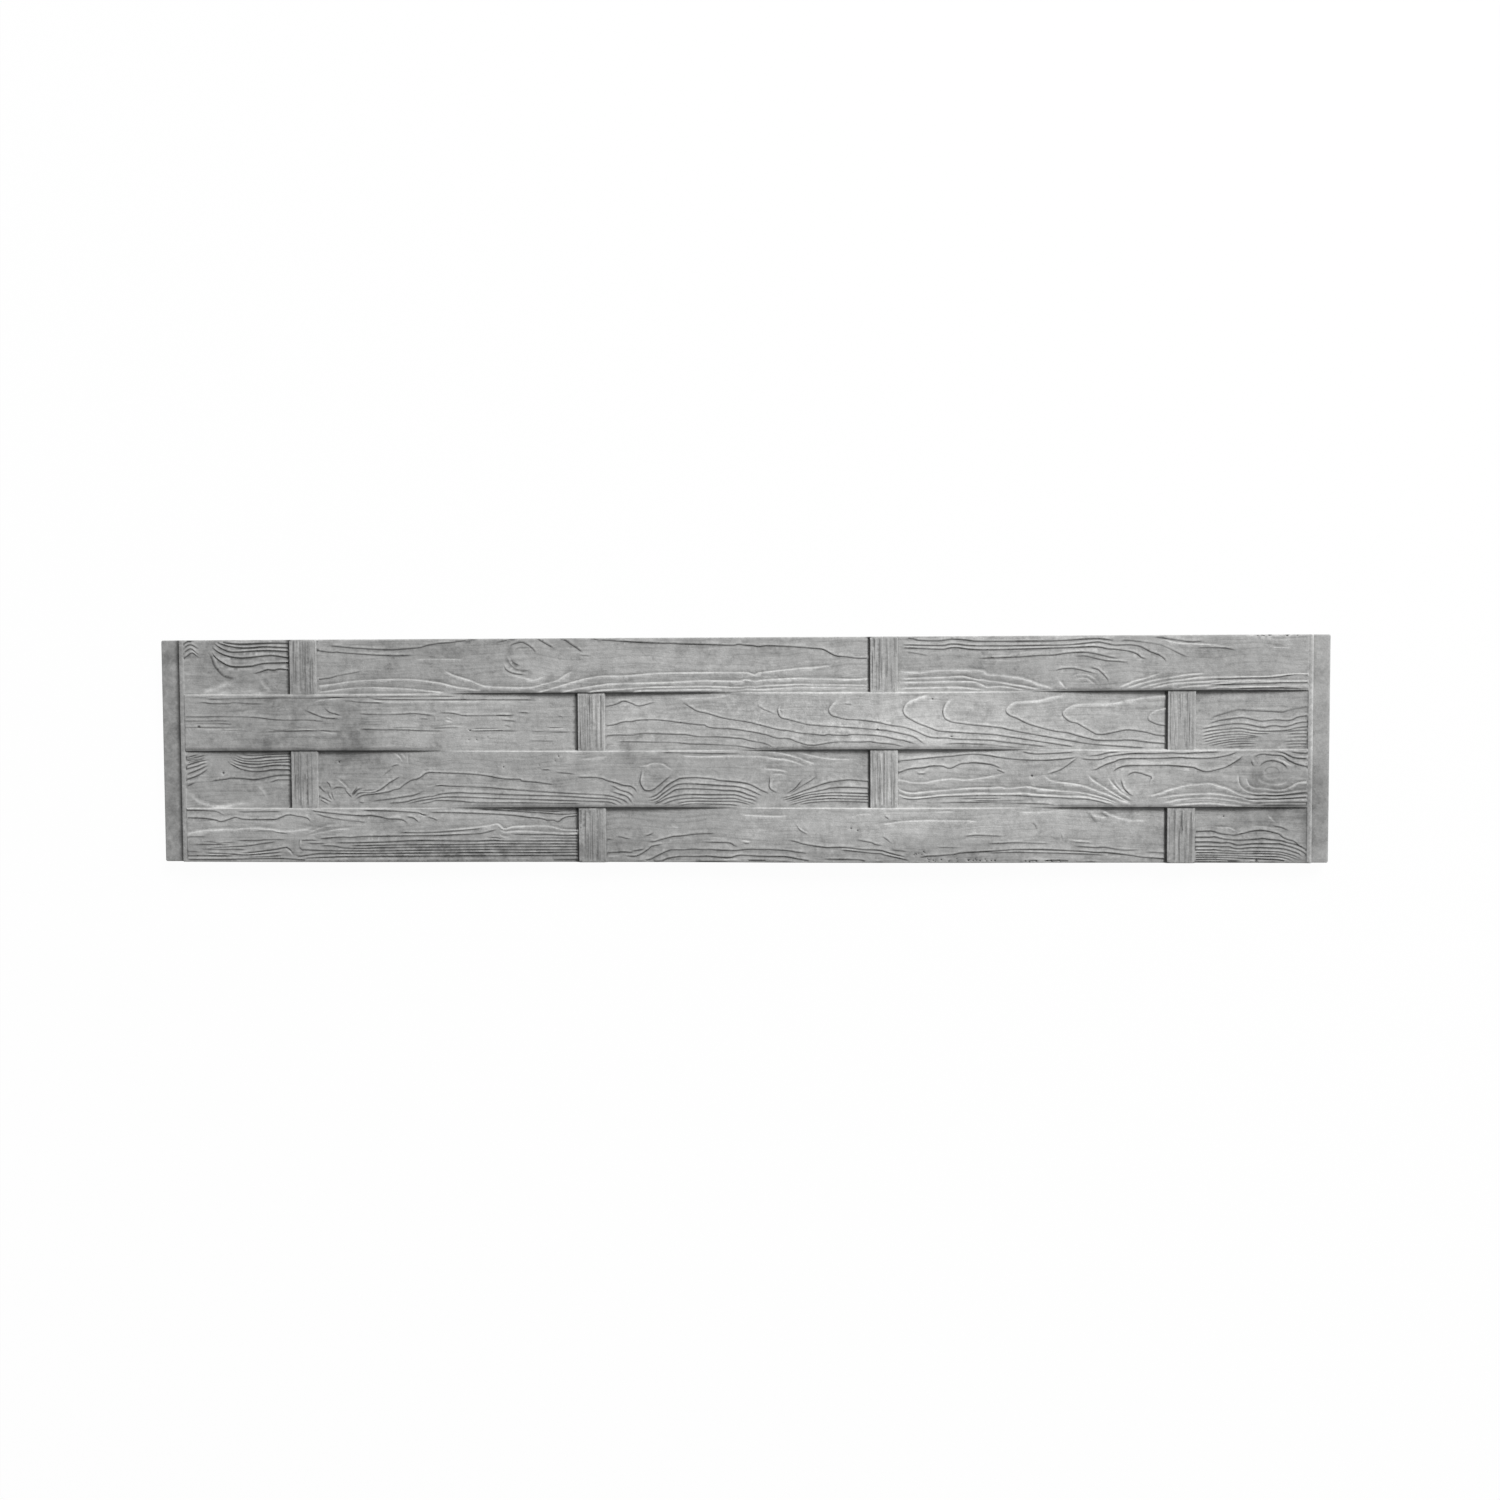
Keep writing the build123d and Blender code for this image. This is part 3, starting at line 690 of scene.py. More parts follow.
def bottom_left_board():
    return [
        ledge(1.2, (-955, 90.5), (-918, 90), (-900, 87), (-888, 79)),
        ledge(2.0, (-957, 77.5), (-930, 76.5), (-908, 74), (-902, 72), (-894, 71.5), (-878, 76.5),
              (-870, 78.5), (-854, 75), (-810, 74.5), (-798, 75.5), (-782, 82), (-770, 82.5),
              (-762, 80.5), (-750, 79), (-742, 76), (-736, 68)),
        ledge(-1.7, (-957, 50), (-930, 55.5), (-900, 57), (-886, 58), (-870, 57), (-858, 59.5),
              (-830, 60), (-786, 55), (-758, 56.5), (-746, 58.5), (-736, 63), half=1.5),
        ledge(1.1, (-834, 55), (-810, 55), (-794, 52), (-774, 50)),
        ledge(1.2, (-870, 89), (-850, 88), (-786, 89)),
        ledge(2.1, (-738, 90), (-710, 86.5), (-650, 81), (-634, 81.5), (-614, 78.5), (-604, 76),
              (-590, 75.5), (-578, 74), (-572, 71), (-568, 65)),
        ledge(0.9, (-732, 87), (-720, 82), (-704, 78), (-670, 72.5), (-660, 72), (-636, 68.5)),
        ledge(-1.1, (-750, 44), (-730, 50), (-700, 56), (-684, 58), (-664, 59)),
        ledge(-0.8, (-748, 50), (-715, 62), (-690, 66)),
        ledge(2.0, (-725, 41), (-684, 44.2), (-670, 43.5), (-650, 45), (-610, 45.5), (-550, 46.5),
              (-520, 46.5), (-460, 49), (-440, 50.5), (-414, 57)),
        ledge(1.4, (-872, 38), (-830, 38.5), (-820, 39.5), (-778, 40)),
        ledge(1.1, (-932, 36), (-912, 35.5), (-902, 33), (-888, 34.5), (-870, 35)),
        ledge(1.5, (-918, 25.5), (-854, 28.5), (-830, 32), (-796, 36.5)),
        ledge(1.2, (-932, 23), (-890, 22.5), (-876, 23), (-850, 22.5)),
        ledge(2.0, (-866, 17), (-846, 17), (-800, 23), (-790, 25.5), (-780, 26), (-775, 22), (-770, 16)),
        ledge(1.7, (-926, 16), (-890, 15), (-850, 13), (-804, 17), (-786, 19.5)),
        ledge(1.7, (-958, 11), (-930, 11.5), (-904, 11), (-874, 11.5)),
        ledge(1.5, (-854, 9), (-810, 10.5), (-786, 12.5)),
        ledge(-1.5, (-785, 26), (-778, 21), (-773, 16), (-768, 9)),
        ledge(0.9, (-957, 44.5), (-920, 44.5)),
        ledge(0.9, (-950, 31), (-915, 31), (-880, 30)),
        ledge(0.9, (-957, 19), (-934, 18.5)),
        ledge(1.7, (-759, 31), (-755, 22.5), (-748, 22), (-722, 21), (-650, 20), (-450, 22),
              (-350, 21.5), (-272, 22)),
        ledge(1.4, (-757, 40), (-759, 29)),
        ledge(2.0, (-766, 15), (-760, 11), (-750, 12), (-730, 15), (-710, 16), (-650, 15.5), (-450, 17),
              (-350, 16.6), (-272, 17.5)),
        ledge(1.4, (-748, 34), (-730, 33), (-710, 33)),
        ledge(1.1, (-760, 38), (-740, 39), (-722, 38)),
        ledge(1.5, (-724, 29), (-700, 29), (-680, 25.5), (-650, 24.5), (-600, 26), (-450, 27),
              (-272, 27)),
        ledge(2.0, (-756, 7), (-700, 9.5), (-650, 10.5), (-272, 12)),
        ledge(1.5, (-958, 5), (-900, 5), (-800, 7), (-750, 4.5), (-700, 4), (-400, 4), (-272, 5)),
        ledge(1.7, (-700, 34.5), (-650, 34.5), (-600, 36), (-550, 38), (-450, 37), (-420, 38),
              (-400, 37), (-350, 37), (-272, 37)),
        ledge(1.8, (-672, 30), (-650, 29.5), (-550, 31), (-500, 30.5), (-400, 32), (-272, 31.5)),
        ledge(1.5, (-585, 51.5), (-570, 52), (-550, 51.5), (-520, 52.5), (-460, 57), (-440, 59.5)),
        ledge(-2.0, (-502, 57.5), (-470, 59), (-434, 62.5), (-422, 65), (-414, 66.5), (-409, 64),
              (-405, 59.5), (-400, 57.5), (-392, 60), (-380, 62), (-330, 63), (-306, 58), (-294, 56),
              (-272, 55.5)),
        ledge(1.4, (-430, 42), (-422, 43), (-412, 42.5), (-403, 39)),
        ledge(-1.4, (-412, 58), (-402, 52.5), (-390, 53), (-370, 54), (-306, 51), (-272, 51)),
        ledge(-1.2, (-411, 50), (-404, 44.5), (-392, 43.5)),
        ledge(1.7, (-390, 49), (-350, 48), (-320, 48), (-300, 46.5), (-272, 46.5)),
        ledge(0.9, (-360, 42.5), (-272, 42)),
        ledge(2.0, (-650, 90.5), (-590, 89), (-554, 86.5), (-546, 84.5), (-541, 82), (-530, 84)),
        ledge(2.0, (-533, 85.5), (-516, 86.5), (-440, 84.5), (-390, 81.5), (-358, 77.5), (-344, 76.5),
              (-332, 74.5), (-326, 72.5), (-316, 73), (-310, 70.5), (-306, 71), (-300, 76), (-290, 79),
              (-272, 80)),
        ledge(-1.2, (-549, 86), (-544, 82), (-536, 79)),
        ledge(1.7, (-572, 79.5), (-560, 77.5), (-554, 74), (-548, 68)),
        ledge(1.4, (-535, 79), (-524, 76), (-515, 72)),
        ledge(1.5, (-446, 91.5), (-420, 91), (-330, 85), (-300, 83), (-272, 84.5)),
        ledge(1.2, (-395, 91), (-370, 90.5), (-320, 88), (-300, 88.5)),
    ]


def bottom_middle_board():
    return [
        ledge(1.4, (-224, 40), (-211, 40)),
        ledge(1.5, (-212, 43.5), (-200, 44), (-190, 41.5), (-178, 40)),
        ledge(1.8, (-224, 16.5), (-210, 17), (-198, 18), (-176, 17)),
        ledge(2.0, (-194, 12), (-180, 10.5), (-170, 12), (-152, 23), (-146, 28), (-124, 32)),
        ledge(-1.1, (-222, 10.5), (-198, 12)),
        ledge(1.4, (-182, 19), (-170, 21), (-158, 24)),
        ledge(1.8, (-155, 36), (-142, 36), (-134, 38.5), (-110, 44.5), (-98, 45.5), (-76, 48.5),
              (-55, 50), (-35, 50)),
        ledge(1.2, (-161, 45.5), (-152, 47), (-142, 52)),
        ledge(1.7, (-176, 1), (-150, 5.5), (-142, 9), (-118, 20.5), (-108, 22), (-90, 22), (-74, 23.5),
              (-60, 22.3), (-46, 22.5), (-6, 21), (22, 23.5), (40, 23), (60, 23), (90, 21), (102, 19),
              (125, 16.5)),
        ledge(2.3, (-146, 1), (-130, 2.8), (-120, 6.5), (-98, 10.5), (-68, 10.5), (-50, 11), (-26, 9),
              (-10, 9), (-2, 11.5), (10, 13), (50, 11), (70, 11), (86, 10.5), (108, 6.5), (136, 3)),
        ledge(1.5, (-74, 1.2), (-30, 2), (-2, 4), (50, 4.5), (94, 1.8)),
        ledge(1.8, (-58, 34.5), (-26, 35), (-14, 34.5), (-8, 33), (-4, 30), (3, 28)),
        ledge(-0.9, (-52, 43.5), (-10, 43)),
        ledge(-1.4, (8, 38.5), (26, 36.5)),
        ledge(1.4, (12, 33), (24, 33.5)),
        ledge(-1.1, (6, 83), (30, 81), (70, 80), (90, 82.5)),
        ledge(0.9, (101, 70), (106, 60), (112, 54), (120, 50), (126, 44)),
        ledge(-0.6, (104, 62), (121, 52)),
        ledge(-0.6, (-112, 66), (-106, 62), (-97, 60), half=1.5),
        ledge(2.0, (88, 39.5), (104, 36), (118, 32), (152, 26.8), (170, 27), (190, 26.5), (216, 23.5),
              (234, 23), (250, 21), (270, 15), (292, 10.5)),
        ledge(1.8, (176, 23), (230, 17.5), (246, 16.5), (256, 13.5), (298, 4)),
        ledge(1.7, (146, 7), (206, 6), (220, 4.5), (234, 4), (254, 1)),
        ledge(1.4, (204, 40), (220, 37.5), (232, 35), (238, 32), (254, 30)),
        ledge(1.2, (248, 47), (258, 40), (266, 33)),
        ledge(1.4, (262, 23), (296, 20)),
        ledge(2.3, (309, 9.5), (326, 12), (340, 12.5), (360, 14.5), (370, 15), (380, 17.5), (390, 18),
              (450, 21.5), (470, 23), (520, 23), (580, 20.5), (610, 18), (630, 17.5), (670, 13),
              (690, 10), (728, 7)),
        ledge(1.4, (424, 17.5), (490, 18.5), (600, 15), (630, 13)),
        ledge(1.2, (480, 2), (500, 5), (520, 4), (550, 5), (616, 1.5)),
        ledge(-1.4, (243, 66), (262, 68), (280, 71), (330, 73), (350, 72.5), (390, 72.5), (412, 71)),
        ledge(-0.6, (246, 86), (310, 86), (375, 88.5)),
        ledge(-0.9, (186, 78.5), (202, 80), (210, 83), (236, 84.5)),
        ledge(1.1, (252, 81), (262, 75)),
        ledge(1.4, (386, 46), (400, 47), (410, 48), (455, 46)),
        ledge(1.1, (338, 25), (350, 27), (385, 26.5)),
        ledge(1.1, (426, 34), (450, 34), (476, 35), (536, 33)),
        ledge(0.6, (536, 47), (541, 42), (550, 41)),
        ledge(0.6, (552, 51), (556, 38)),
        ledge(1.1, (501, 70), (509, 65), (512, 55), half=1.5),
        ledge(-1.2, (558, 42), (570, 39.5), (606, 37)),
        ledge(0.9, (568, 36), (610, 33.5)),
        ledge(1.2, (572, 29), (610, 26.5), (624, 27), (650, 23), (666, 22), (686, 23)),
        ledge(-1.5, (616, 91), (630, 85), (638, 81), (660, 74), (674, 73), (696, 73), half=1.5),
        ledge(-1.1, (600, 82), (632, 77), half=1.5),
        ledge(0.7, (590, 90.5), (598, 86), (610, 72), (618, 64), half=1.8),
        ledge(0.6, (619, 87), (632, 78), half=1.8),
        ledge(-0.9, (476, 87), (520, 87), (540, 89), (565, 90.5)),
        ledge(0.9, (690, 19), (728, 17)),
    ]


def bottom_right_board():
    return [
        ledge(2.1, (776, 53), (800, 54.5), (810, 53), (818, 50.5), (836, 48), (846, 48), (870, 54),
              (890, 55.5), (910, 51.5), (918, 49), (922, 45), (930, 41), (940, 38), (946, 34), (953, 27)),
        ledge(2.1, (776, 44), (800, 44), (810, 44.5), (826, 41), (850, 39.3), (880, 41), (890, 42),
              (900, 40.5), (920, 38.5), (930, 35.5), (950, 30), (960, 24)),
        ledge(2.1, (776, 35.5), (800, 36), (820, 34.5), (830, 35), (838, 34), (846, 31), (854, 31),
              (874, 33), (910, 33), (922, 32), (950, 23), (959, 17)),
        ledge(2.0, (776, 28), (790, 28.5), (820, 28), (834, 28), (840, 26), (850, 24.5), (874, 26.5),
              (920, 25), (940, 20), (950, 16), (957, 10)),
        ledge(1.8, (776, 22.5), (800, 22.5), (810, 23), (822, 21), (834, 21), (850, 19.5), (870, 20),
              (910, 19.5), (922, 18.5), (946, 11.5), (955, 6)),
        ledge(1.7, (776, 17.5), (822, 17.5), (860, 16), (880, 16.5), (900, 16), (920, 15), (942, 9),
              (951, 4)),
        ledge(1.7, (776, 13), (800, 13.5), (880, 11.5), (920, 10.5), (943, 3)),
        ledge(2.1, (776, 9.5), (810, 10), (890, 7), (910, 6.5), (926, 4.5), (938, 1.5)),
        ledge(2.1, (776, 5.5), (806, 6.5), (856, 4.3)),
        ledge(1.8, (776, 2), (810, 2.5), (856, 1.8)),
        ledge(1.2, (862, 2.3), (890, 3), (918, 1.8)),
        ledge(1.8, (904, 65), (912, 62.5), (920, 61), (934, 55)),
        ledge(-1.4, (897, 83), (904, 75), (912, 68)),
        ledge(-1.2, (804, 61), (822, 60), (834, 60), (842, 56), (854, 51)),
        ledge(-0.9, (866, 61), (890, 62), (914, 58)),
    ]


def batten_grain(middle, seed):
    """Fine upright lines along a batten, some standing out and some cut in."""
    spread = random.Random(seed)
    lines = []
    for k in range(BATTEN_LINES):
        x = middle + BATTEN_LINES_WIDTH * ((k + 0.5 + spread.uniform(-0.2, 0.2)) / BATTEN_LINES - 0.5)
        drop = spread.choice((-1, -1, -1, 1)) * spread.uniform(0.35, 0.8)
        start = spread.choice((-15, -15, -15, 20, 45))
        stop = spread.choice((114, 114, 114, 80, 60))
        sway = [spread.uniform(-0.6, 0.6) for _ in range(4)]
        points = [(x + off, start + (stop - start) * n / 3) for n, off in enumerate(sway)]
        lines.append(ledge(drop, *points, half=0.6))
    return lines


def all_battens():
    """Each batten that shows, in the same form as the boards."""
    middles = [(row, round(x / MM)) for row in range(ROW_COUNT) for x in row_battens(row)]
    return [(row, x - BATTEN_FACE_HALF, x + BATTEN_FACE_HALF, batten_grain(x, 10 * row + x), 1)
            for row, x in middles]


# Each board that shows: its row, where it starts and stops, its ledges and how deep they are moulded there
BOARDS = [
    (0, -958, -772, top_left_board(), 2.2),
    (0, -724, 228, top_middle_board(), 1.3),
    (0, 276, 962, top_right_board(), 1.2),
    (1, -958, -272, second_left_board(), 0.75),
    (1, -224, 728, second_middle_board(), 0.75),
    (1, 776, 962, second_right_board(), 0.75),
    (2, -958, -772, third_left_board(), 1.15),
    (2, -724, 228, third_middle_board(), 0.9),
    (2, 276, 962, third_right_board(), 1.0),
    (3, -958, -272, bottom_left_board(), 0.95),
    (3, -224, 728, bottom_middle_board(), 0.95),
    (3, 776, 962, bottom_right_board(), 0.95),
]
BATTENS = all_battens()

# Stains and pale places of the casting, with painted shade and highlight: x, row, height in the row,
# reach along and up, strength
STAINS_AND_PAINTED_LIGHT = [
    # Painted shade: darker towards both ends and over the left part, where the lamp's light falls off
    (-985, 1, 10, 22, 260, 0.26),
    (-900, 1, 0, 150, 250, 0.10),
    (985, 1, 10, 18, 260, 0.12),
    # Painted highlight: a pale line on the wall at the right end of the field, which faces the lamp
    (969.8, 1, 10, 1.1, 260, -0.5),
    (-965.6, 1, 10, 1.1, 260, -0.3),
    (-472, 0, 73, 34, 9, 0.22),
    (-300, 0, 88, 60, 14, 0.25),
    (-135, 0, 84, 90, 12, 0.28),
    (-600, 0, 78, 80, 12, 0.18),
    (-120, 0, 58, 90, 16, -0.12),
    (-840, 0, 60, 70, 30, 0.10),
    (605, 0, 60, 36, 6, 0.20),
    (375, 0, 57, 20, 3, 0.20),
    (810, 0, 67, 90, 9, 0.18),
    (828, 0, 67, 14, 5, 0.20),
    (860, 0, 50, 110, 40, 0.08),
    (-910, 1, 17, 5, 5, 0.20),
    (-817, 1, 87, 44, 6, 0.20),
    (-653, 1, 50, 46, 60, 0.20),
    (-815, 1, 15, 36, 11, 0.18),
    (-690, 1, 20, 50, 20, 0.16),
    (75, 1, 90, 75, 4, 0.15),
    (250, 1, 50, 400, 60, -0.34),
    (535, 1, 77, 7, 7, 0.15),
    (890, 1, 15, 30, 10, 0.14),
    (-650, 2, 82, 50, 13, 0.20),
    (-512, 2, 78, 9, 9, 0.20),
    (-436, 2, 88, 9, 7, 0.20),
    (20, 2, 40, 400, 50, 0.06),
    (-384, 2, 75, 9, 9, 0.18),
    (-352, 2, 85, 9, 7, 0.18),
    (-272, 2, 75, 9, 9, 0.18),
    (-139, 2, 85, 30, 5, 0.18),
    (500, 2, 50, 240, 60, -0.12),
    (906, 2, 50, 50, 50, 0.12),
    (-500, 3, 18, 300, 26, 0.55),
    (-748, 0, 50, 26, 60, 0.06),
    (-385, 0, 79, 6, 8, 0.25),
    (-90, 1, 65, 6, 6, 0.15),
    (-900, 3, 60, 90, 20, -0.08),
    (-150, 3, 40, 90, 50, 0.10),
    (880, 3, 30, 100, 60, 0.34),
    (549, 3, 43, 14, 3, 0.20),
    (-830, 0, 75, 190, 45, 0.17),
    (-760, 0, 20, 70, 40, 0.12),
    (60, 0, 80, 70, 24, 0.30),
    (-450, 0, 80, 60, 25, 0.16),
    (655, 0, 80, 50, 20, 0.18),
    (-740, 1, 70, 100, 45, 0.18),
    (-740, 2, 70, 130, 60, 0.17),
    (-530, 2, 30, 100, 40, 0.12),
    (-40, 2, 25, 50, 30, 0.12),
    (930, 2, 20, 90, 40, 0.28),
    (300, 3, 72, 330, 28, -0.20),
    (-820, 3, 72, 120, 25, -0.12),
    (300, 3, 14, 360, 22, 0.30),
    (-386, 0, 74, 5, 8, 0.25),
    (-405, 0, 54, 7, 4, 0.15),
    (-333, 0, 57, 2.5, 6, 0.25),
    (-275, 0, 80, 16, 6, 0.2),
    (900, 0, 87, 45, 1.5, 0.25),
    (915, 0, 81, 30, 1.2, 0.18),
    (-364, 0, 62, 10, 12, -0.12),
    (866, 0, 92.5, 6, 2, -0.7),
    (884, 0, 92.5, 5, 2, -0.6),
    (906, 0, 92.5, 9, 2, -0.7),
    (931, 0, 92.5, 5, 2, -0.6),
    (949, 0, 92.5, 6, 2, -0.5),
    (908, 0, 84, 22, 2.5, -0.35),
    (925, 0, 79, 6, 8, -0.25),
]

# Air holes and chips of the casting: x, row, height in the row, radius
PITS = [
    (-933, 1, 42.5, 2.6),
    (241, 1, 35, 2.2),
    (334, 1, 86.5, 1.8),
    (366, 1, 22.5, 1.8),
    (-893, 2, 60.5, 2.4),
    (-689, 2, 79.5, 1.8),
    (502, 2, 54, 2.4),
    (196, 3, 59, 1.8),
    (207, 3, 55.5, 1.8),
    (824, 3, 79, 1.6),
    (440, 3, 4, 2.2),
    (880, 3, 4, 2.4),
    (971, 2, 2, 2),
]

# Rough places of the casting: row, from and to along the panel, from and to up the row, how many pits
ROUGH_PLACES = [
    (3, 320, 450, 2, 8, 22),
    (3, 490, 560, 1.5, 4, 9),
    (0, 862, 955, 92, 93.5, 8),
    (3, 302, 324, 14, 20, 7),
    (1, -470, -380, 8, 40, 4),
    (2, -520, -300, 70, 92, 4),
]


def scattered_pits():
    """Pits at random over the rough places, in the form of the list above."""
    spread = random.Random(7)
    return [(spread.uniform(left, right), row, spread.uniform(low, high), spread.uniform(0.9, 1.8))
            for row, left, right, low, high, count in ROUGH_PLACES for _ in range(count)]


# The plan of the face


def spaced(points, step):
    """The same open path, with points a step apart."""
    runs = np.hypot(*np.diff(points, axis=0).T)
    along = np.concatenate([[0], np.cumsum(runs)])
    count = max(2, int(round(along[-1] / step)) + 1)
    stations = np.linspace(0, along[-1], count)
    return np.stack([np.interp(stations, along, points[:, k]) for k in (0, 1)], 1)


def smooth_path(points, step, closed=False):
    """A Catmull-Rom curve through the points."""
    if closed:
        ends = np.concatenate([points[-1:], points, points[:2]])
    else:
        ends = np.concatenate([2 * points[:1] - points[1:2], points, 2 * points[-1:] - points[-2:-1]])
    t = np.linspace(0, 1, 12, endpoint=False)[:, None]
    spans = []
    for a, b, c, d in zip(ends, ends[1:], ends[2:], ends[3:]):
        spans.append(0.5 * (2 * b + (c - a) * t + (2 * a - 5 * b + 4 * c - d) * t**2
                            + (3 * b - a - 3 * c + d) * t**3))
    spans.append(ends[-2:-1])
    return spaced(np.concatenate(spans), step)


def outline(inset):
    """The slab's outline with its rounded corners, moved in by an inset."""
    radius = max(CORNER_RADIUS - inset, 0)
    across = HALF_LENGTH - inset - radius
    up = HALF_HEIGHT - inset - radius
    corners = []
    for turn, (cx, cy) in enumerate(((across, up), (-across, up), (-across, -up), (across, -up))):
        for angle in np.linspace(turn * 90, turn * 90 + 90, 6 if radius else 1):
            a = math.radians(angle)
            corners.append((cx + radius * math.cos(a), cy + radius * math.sin(a)))
    ring = np.array(corners + corners[:1])
    return np.concatenate([spaced(ring[k:k + 2], EDGE_STEP)[:-1] for k in range(len(ring) - 1)])


def straight_line(start, stop):
    """Points from one place to another, an edge's step apart."""
    return spaced(np.array([start, stop]), EDGE_STEP)


def shaping_lines():
    """Lines of points that the walls, arrises and battens of the face need, as open paths."""
    left, right = FIELD_OFFSET - BOARDS_HALF, FIELD_OFFSET + BOARDS_HALF
    paths = [straight_line((left, line + off * MM), (right, line + off * MM))
             for line in row_lines() for off in ROW_LINE_OFFSETS]
    top = HALF_HEIGHT - 2 * ARRIS_RADIUS
    for side in (-1, 1):
        for off in FIELD_END_OFFSETS + (LEFT_END_OFFSETS if side < 0 else ()):
            x = FIELD_OFFSET + side * (FIELD_HALF + off * MM)
            paths.append(straight_line((x, -top), (x, top)))
    for row in range(ROW_COUNT):
        low, high = row_limits(row)
        low, high = max(low, -top), min(high, top)
        for middle in row_battens(row):
            for side in (-1, 1):
                for off in BATTEN_SIDE_OFFSETS + (LEFT_SIDE_OFFSETS if side < 0 else ()):
                    x = middle + side * (BATTEN_HALF + off * MM)
                    paths.append(straight_line((x, low), (x, high)))
    return paths


def board_box(row, start, stop):
    """The limits of a board or batten in metres: left, right, low and high."""
    low, high = row_limits(row)
    return start * MM, stop * MM, low, high


def ledge_path(cut, box):
    """The ledge's middle line on the face. An end that reaches the end of its board runs on past it."""
    left, right, low, _ = box
    points = cut["points"].copy()
    points[:, 1] += low
    if not cut["closed"]:
        for end, inner in ((0, 1), (-1, -2)):
            if min(points[end, 0] - left, right - points[end, 0]) < RUNS_ON_WITHIN:
                way = points[end] - points[inner]
                points[end] += way / np.hypot(*way) * LEDGE_FADE
    return smooth_path(points, PATH_STEP, cut["closed"])


def side_by_side(path, off):
    """The path moved to its left by an offset."""
    way = np.gradient(path, axis=0)
    way /= np.hypot(*way.T)[:, None]
    return path + off * np.stack([-way[:, 1], way[:, 0]], 1)


def ledge_lines(paths):
    """Crest and foot of every ledge, and a line beside each, cut to the ledge's board."""
    lines = []
    for cut, path, (left, right, low, high) in paths:
        for off in LEDGE_LINE_OFFSETS if cut["half"] >= LEDGE_HALF else FINE_LEDGE_LINE_OFFSETS:
            line = side_by_side(path, off * cut["half"])
            inside = (line[:, 0] > left + BOARD_END_ROOM) & (line[:, 0] < right - BOARD_END_ROOM)
            inside &= (line[:, 1] > low + BOARD_SIDE_ROOM) & (line[:, 1] < high - BOARD_SIDE_ROOM)
            stretches = np.split(np.arange(len(line)), np.flatnonzero(np.diff(inside.astype(int))) + 1)
            lines += [line[run] for run in stretches if inside[run[0]] and len(run) > 1]
    return lines


def pit_places():
    """Middle and radius of every pit."""
    pits = np.array([(x * MM, v * MM + row_limits(row)[0], radius * MM)
                     for x, row, v, radius in PITS + scattered_pits()])
    return pits[:, :2], pits[:, 2]


def pit_points():
    """Points round and in every pit, as far as they lie on the face."""
    middles, radii = pit_places()
    turns = np.radians(np.arange(0, 360, 45))
    round_pit = np.stack([np.cos(turns), np.sin(turns)], 1)
    points = np.concatenate([middles] + [m + r * share * round_pit
                                         for m, r in zip(middles, radii) for share in (0.65, 1.15)])
    return points[abs(points[:, 1]) < HALF_HEIGHT - 0.3 * MM]


def fill_points(lines):
    """Points between the lines, on a staggered grid, away from those that are there already."""
    taken = np.concatenate(lines + [outline(0), outline(ARRIS_RADIUS), pit_points()])
    shape = [int(2 * half / CLEAR_CELL) + 8 for half in (HALF_LENGTH, HALF_HEIGHT)]

    def cells(points):
        return tuple(((points + (HALF_LENGTH, HALF_HEIGHT)) / CLEAR_CELL + 3).astype(int).T)

    busy = np.zeros(shape, bool)
    for dx in (-CLEAR_ROOM, 0, CLEAR_ROOM):
        for dy in (-CLEAR_ROOM, 0, CLEAR_ROOM):
            busy[cells(taken + (dx, dy))] = True
    rise = FILL_STEP * math.sqrt(0.75)
    rows = int(2 * HALF_HEIGHT / rise)
    columns = int(2 * HALF_LENGTH / FILL_STEP)
    grid = np.array([(-HALF_LENGTH + (c + 0.5 + 0.5 * (r % 2)) * FILL_STEP, -HALF_HEIGHT + (r + 0.5) * rise)
                     for r in range(rows) for c in range(columns)])
    inside = (abs(grid[:, 0]) < HALF_LENGTH - 2 * MM) & (abs(grid[:, 1]) < HALF_HEIGHT - 2 * MM)
    grid = grid[inside]
    return grid[~busy[cells(grid)]]


def triangulated(lines, rings, loose):
    """Triangles over the whole plan, with every line and ring as edges."""
    points, edges = [], []
    for line in lines:
        first = len(points)
        points += line.tolist()
        edges += [(first + k, first + k + 1) for k in range(len(line) - 1)]
    for ring in rings:
        first = len(points)
        points += ring.tolist()
        edges += [(first + k, first + (k + 1) % len(ring)) for k in range(len(ring))]
    points += loose.tolist()
    corners, _, faces, *_ = delaunay_2d_cdt(points, edges, [], 0, 1e-6, False)
    return np.array([tuple(corner) for corner in corners]), faces


def back_points():
    """An even grid of points over the back."""
    along, up = (np.arange(-half + 20 * MM, half - 10 * MM, BACK_STEP) for half in (HALF_LENGTH, HALF_HEIGHT))
    return np.array([(x, y) for x in along for y in up])


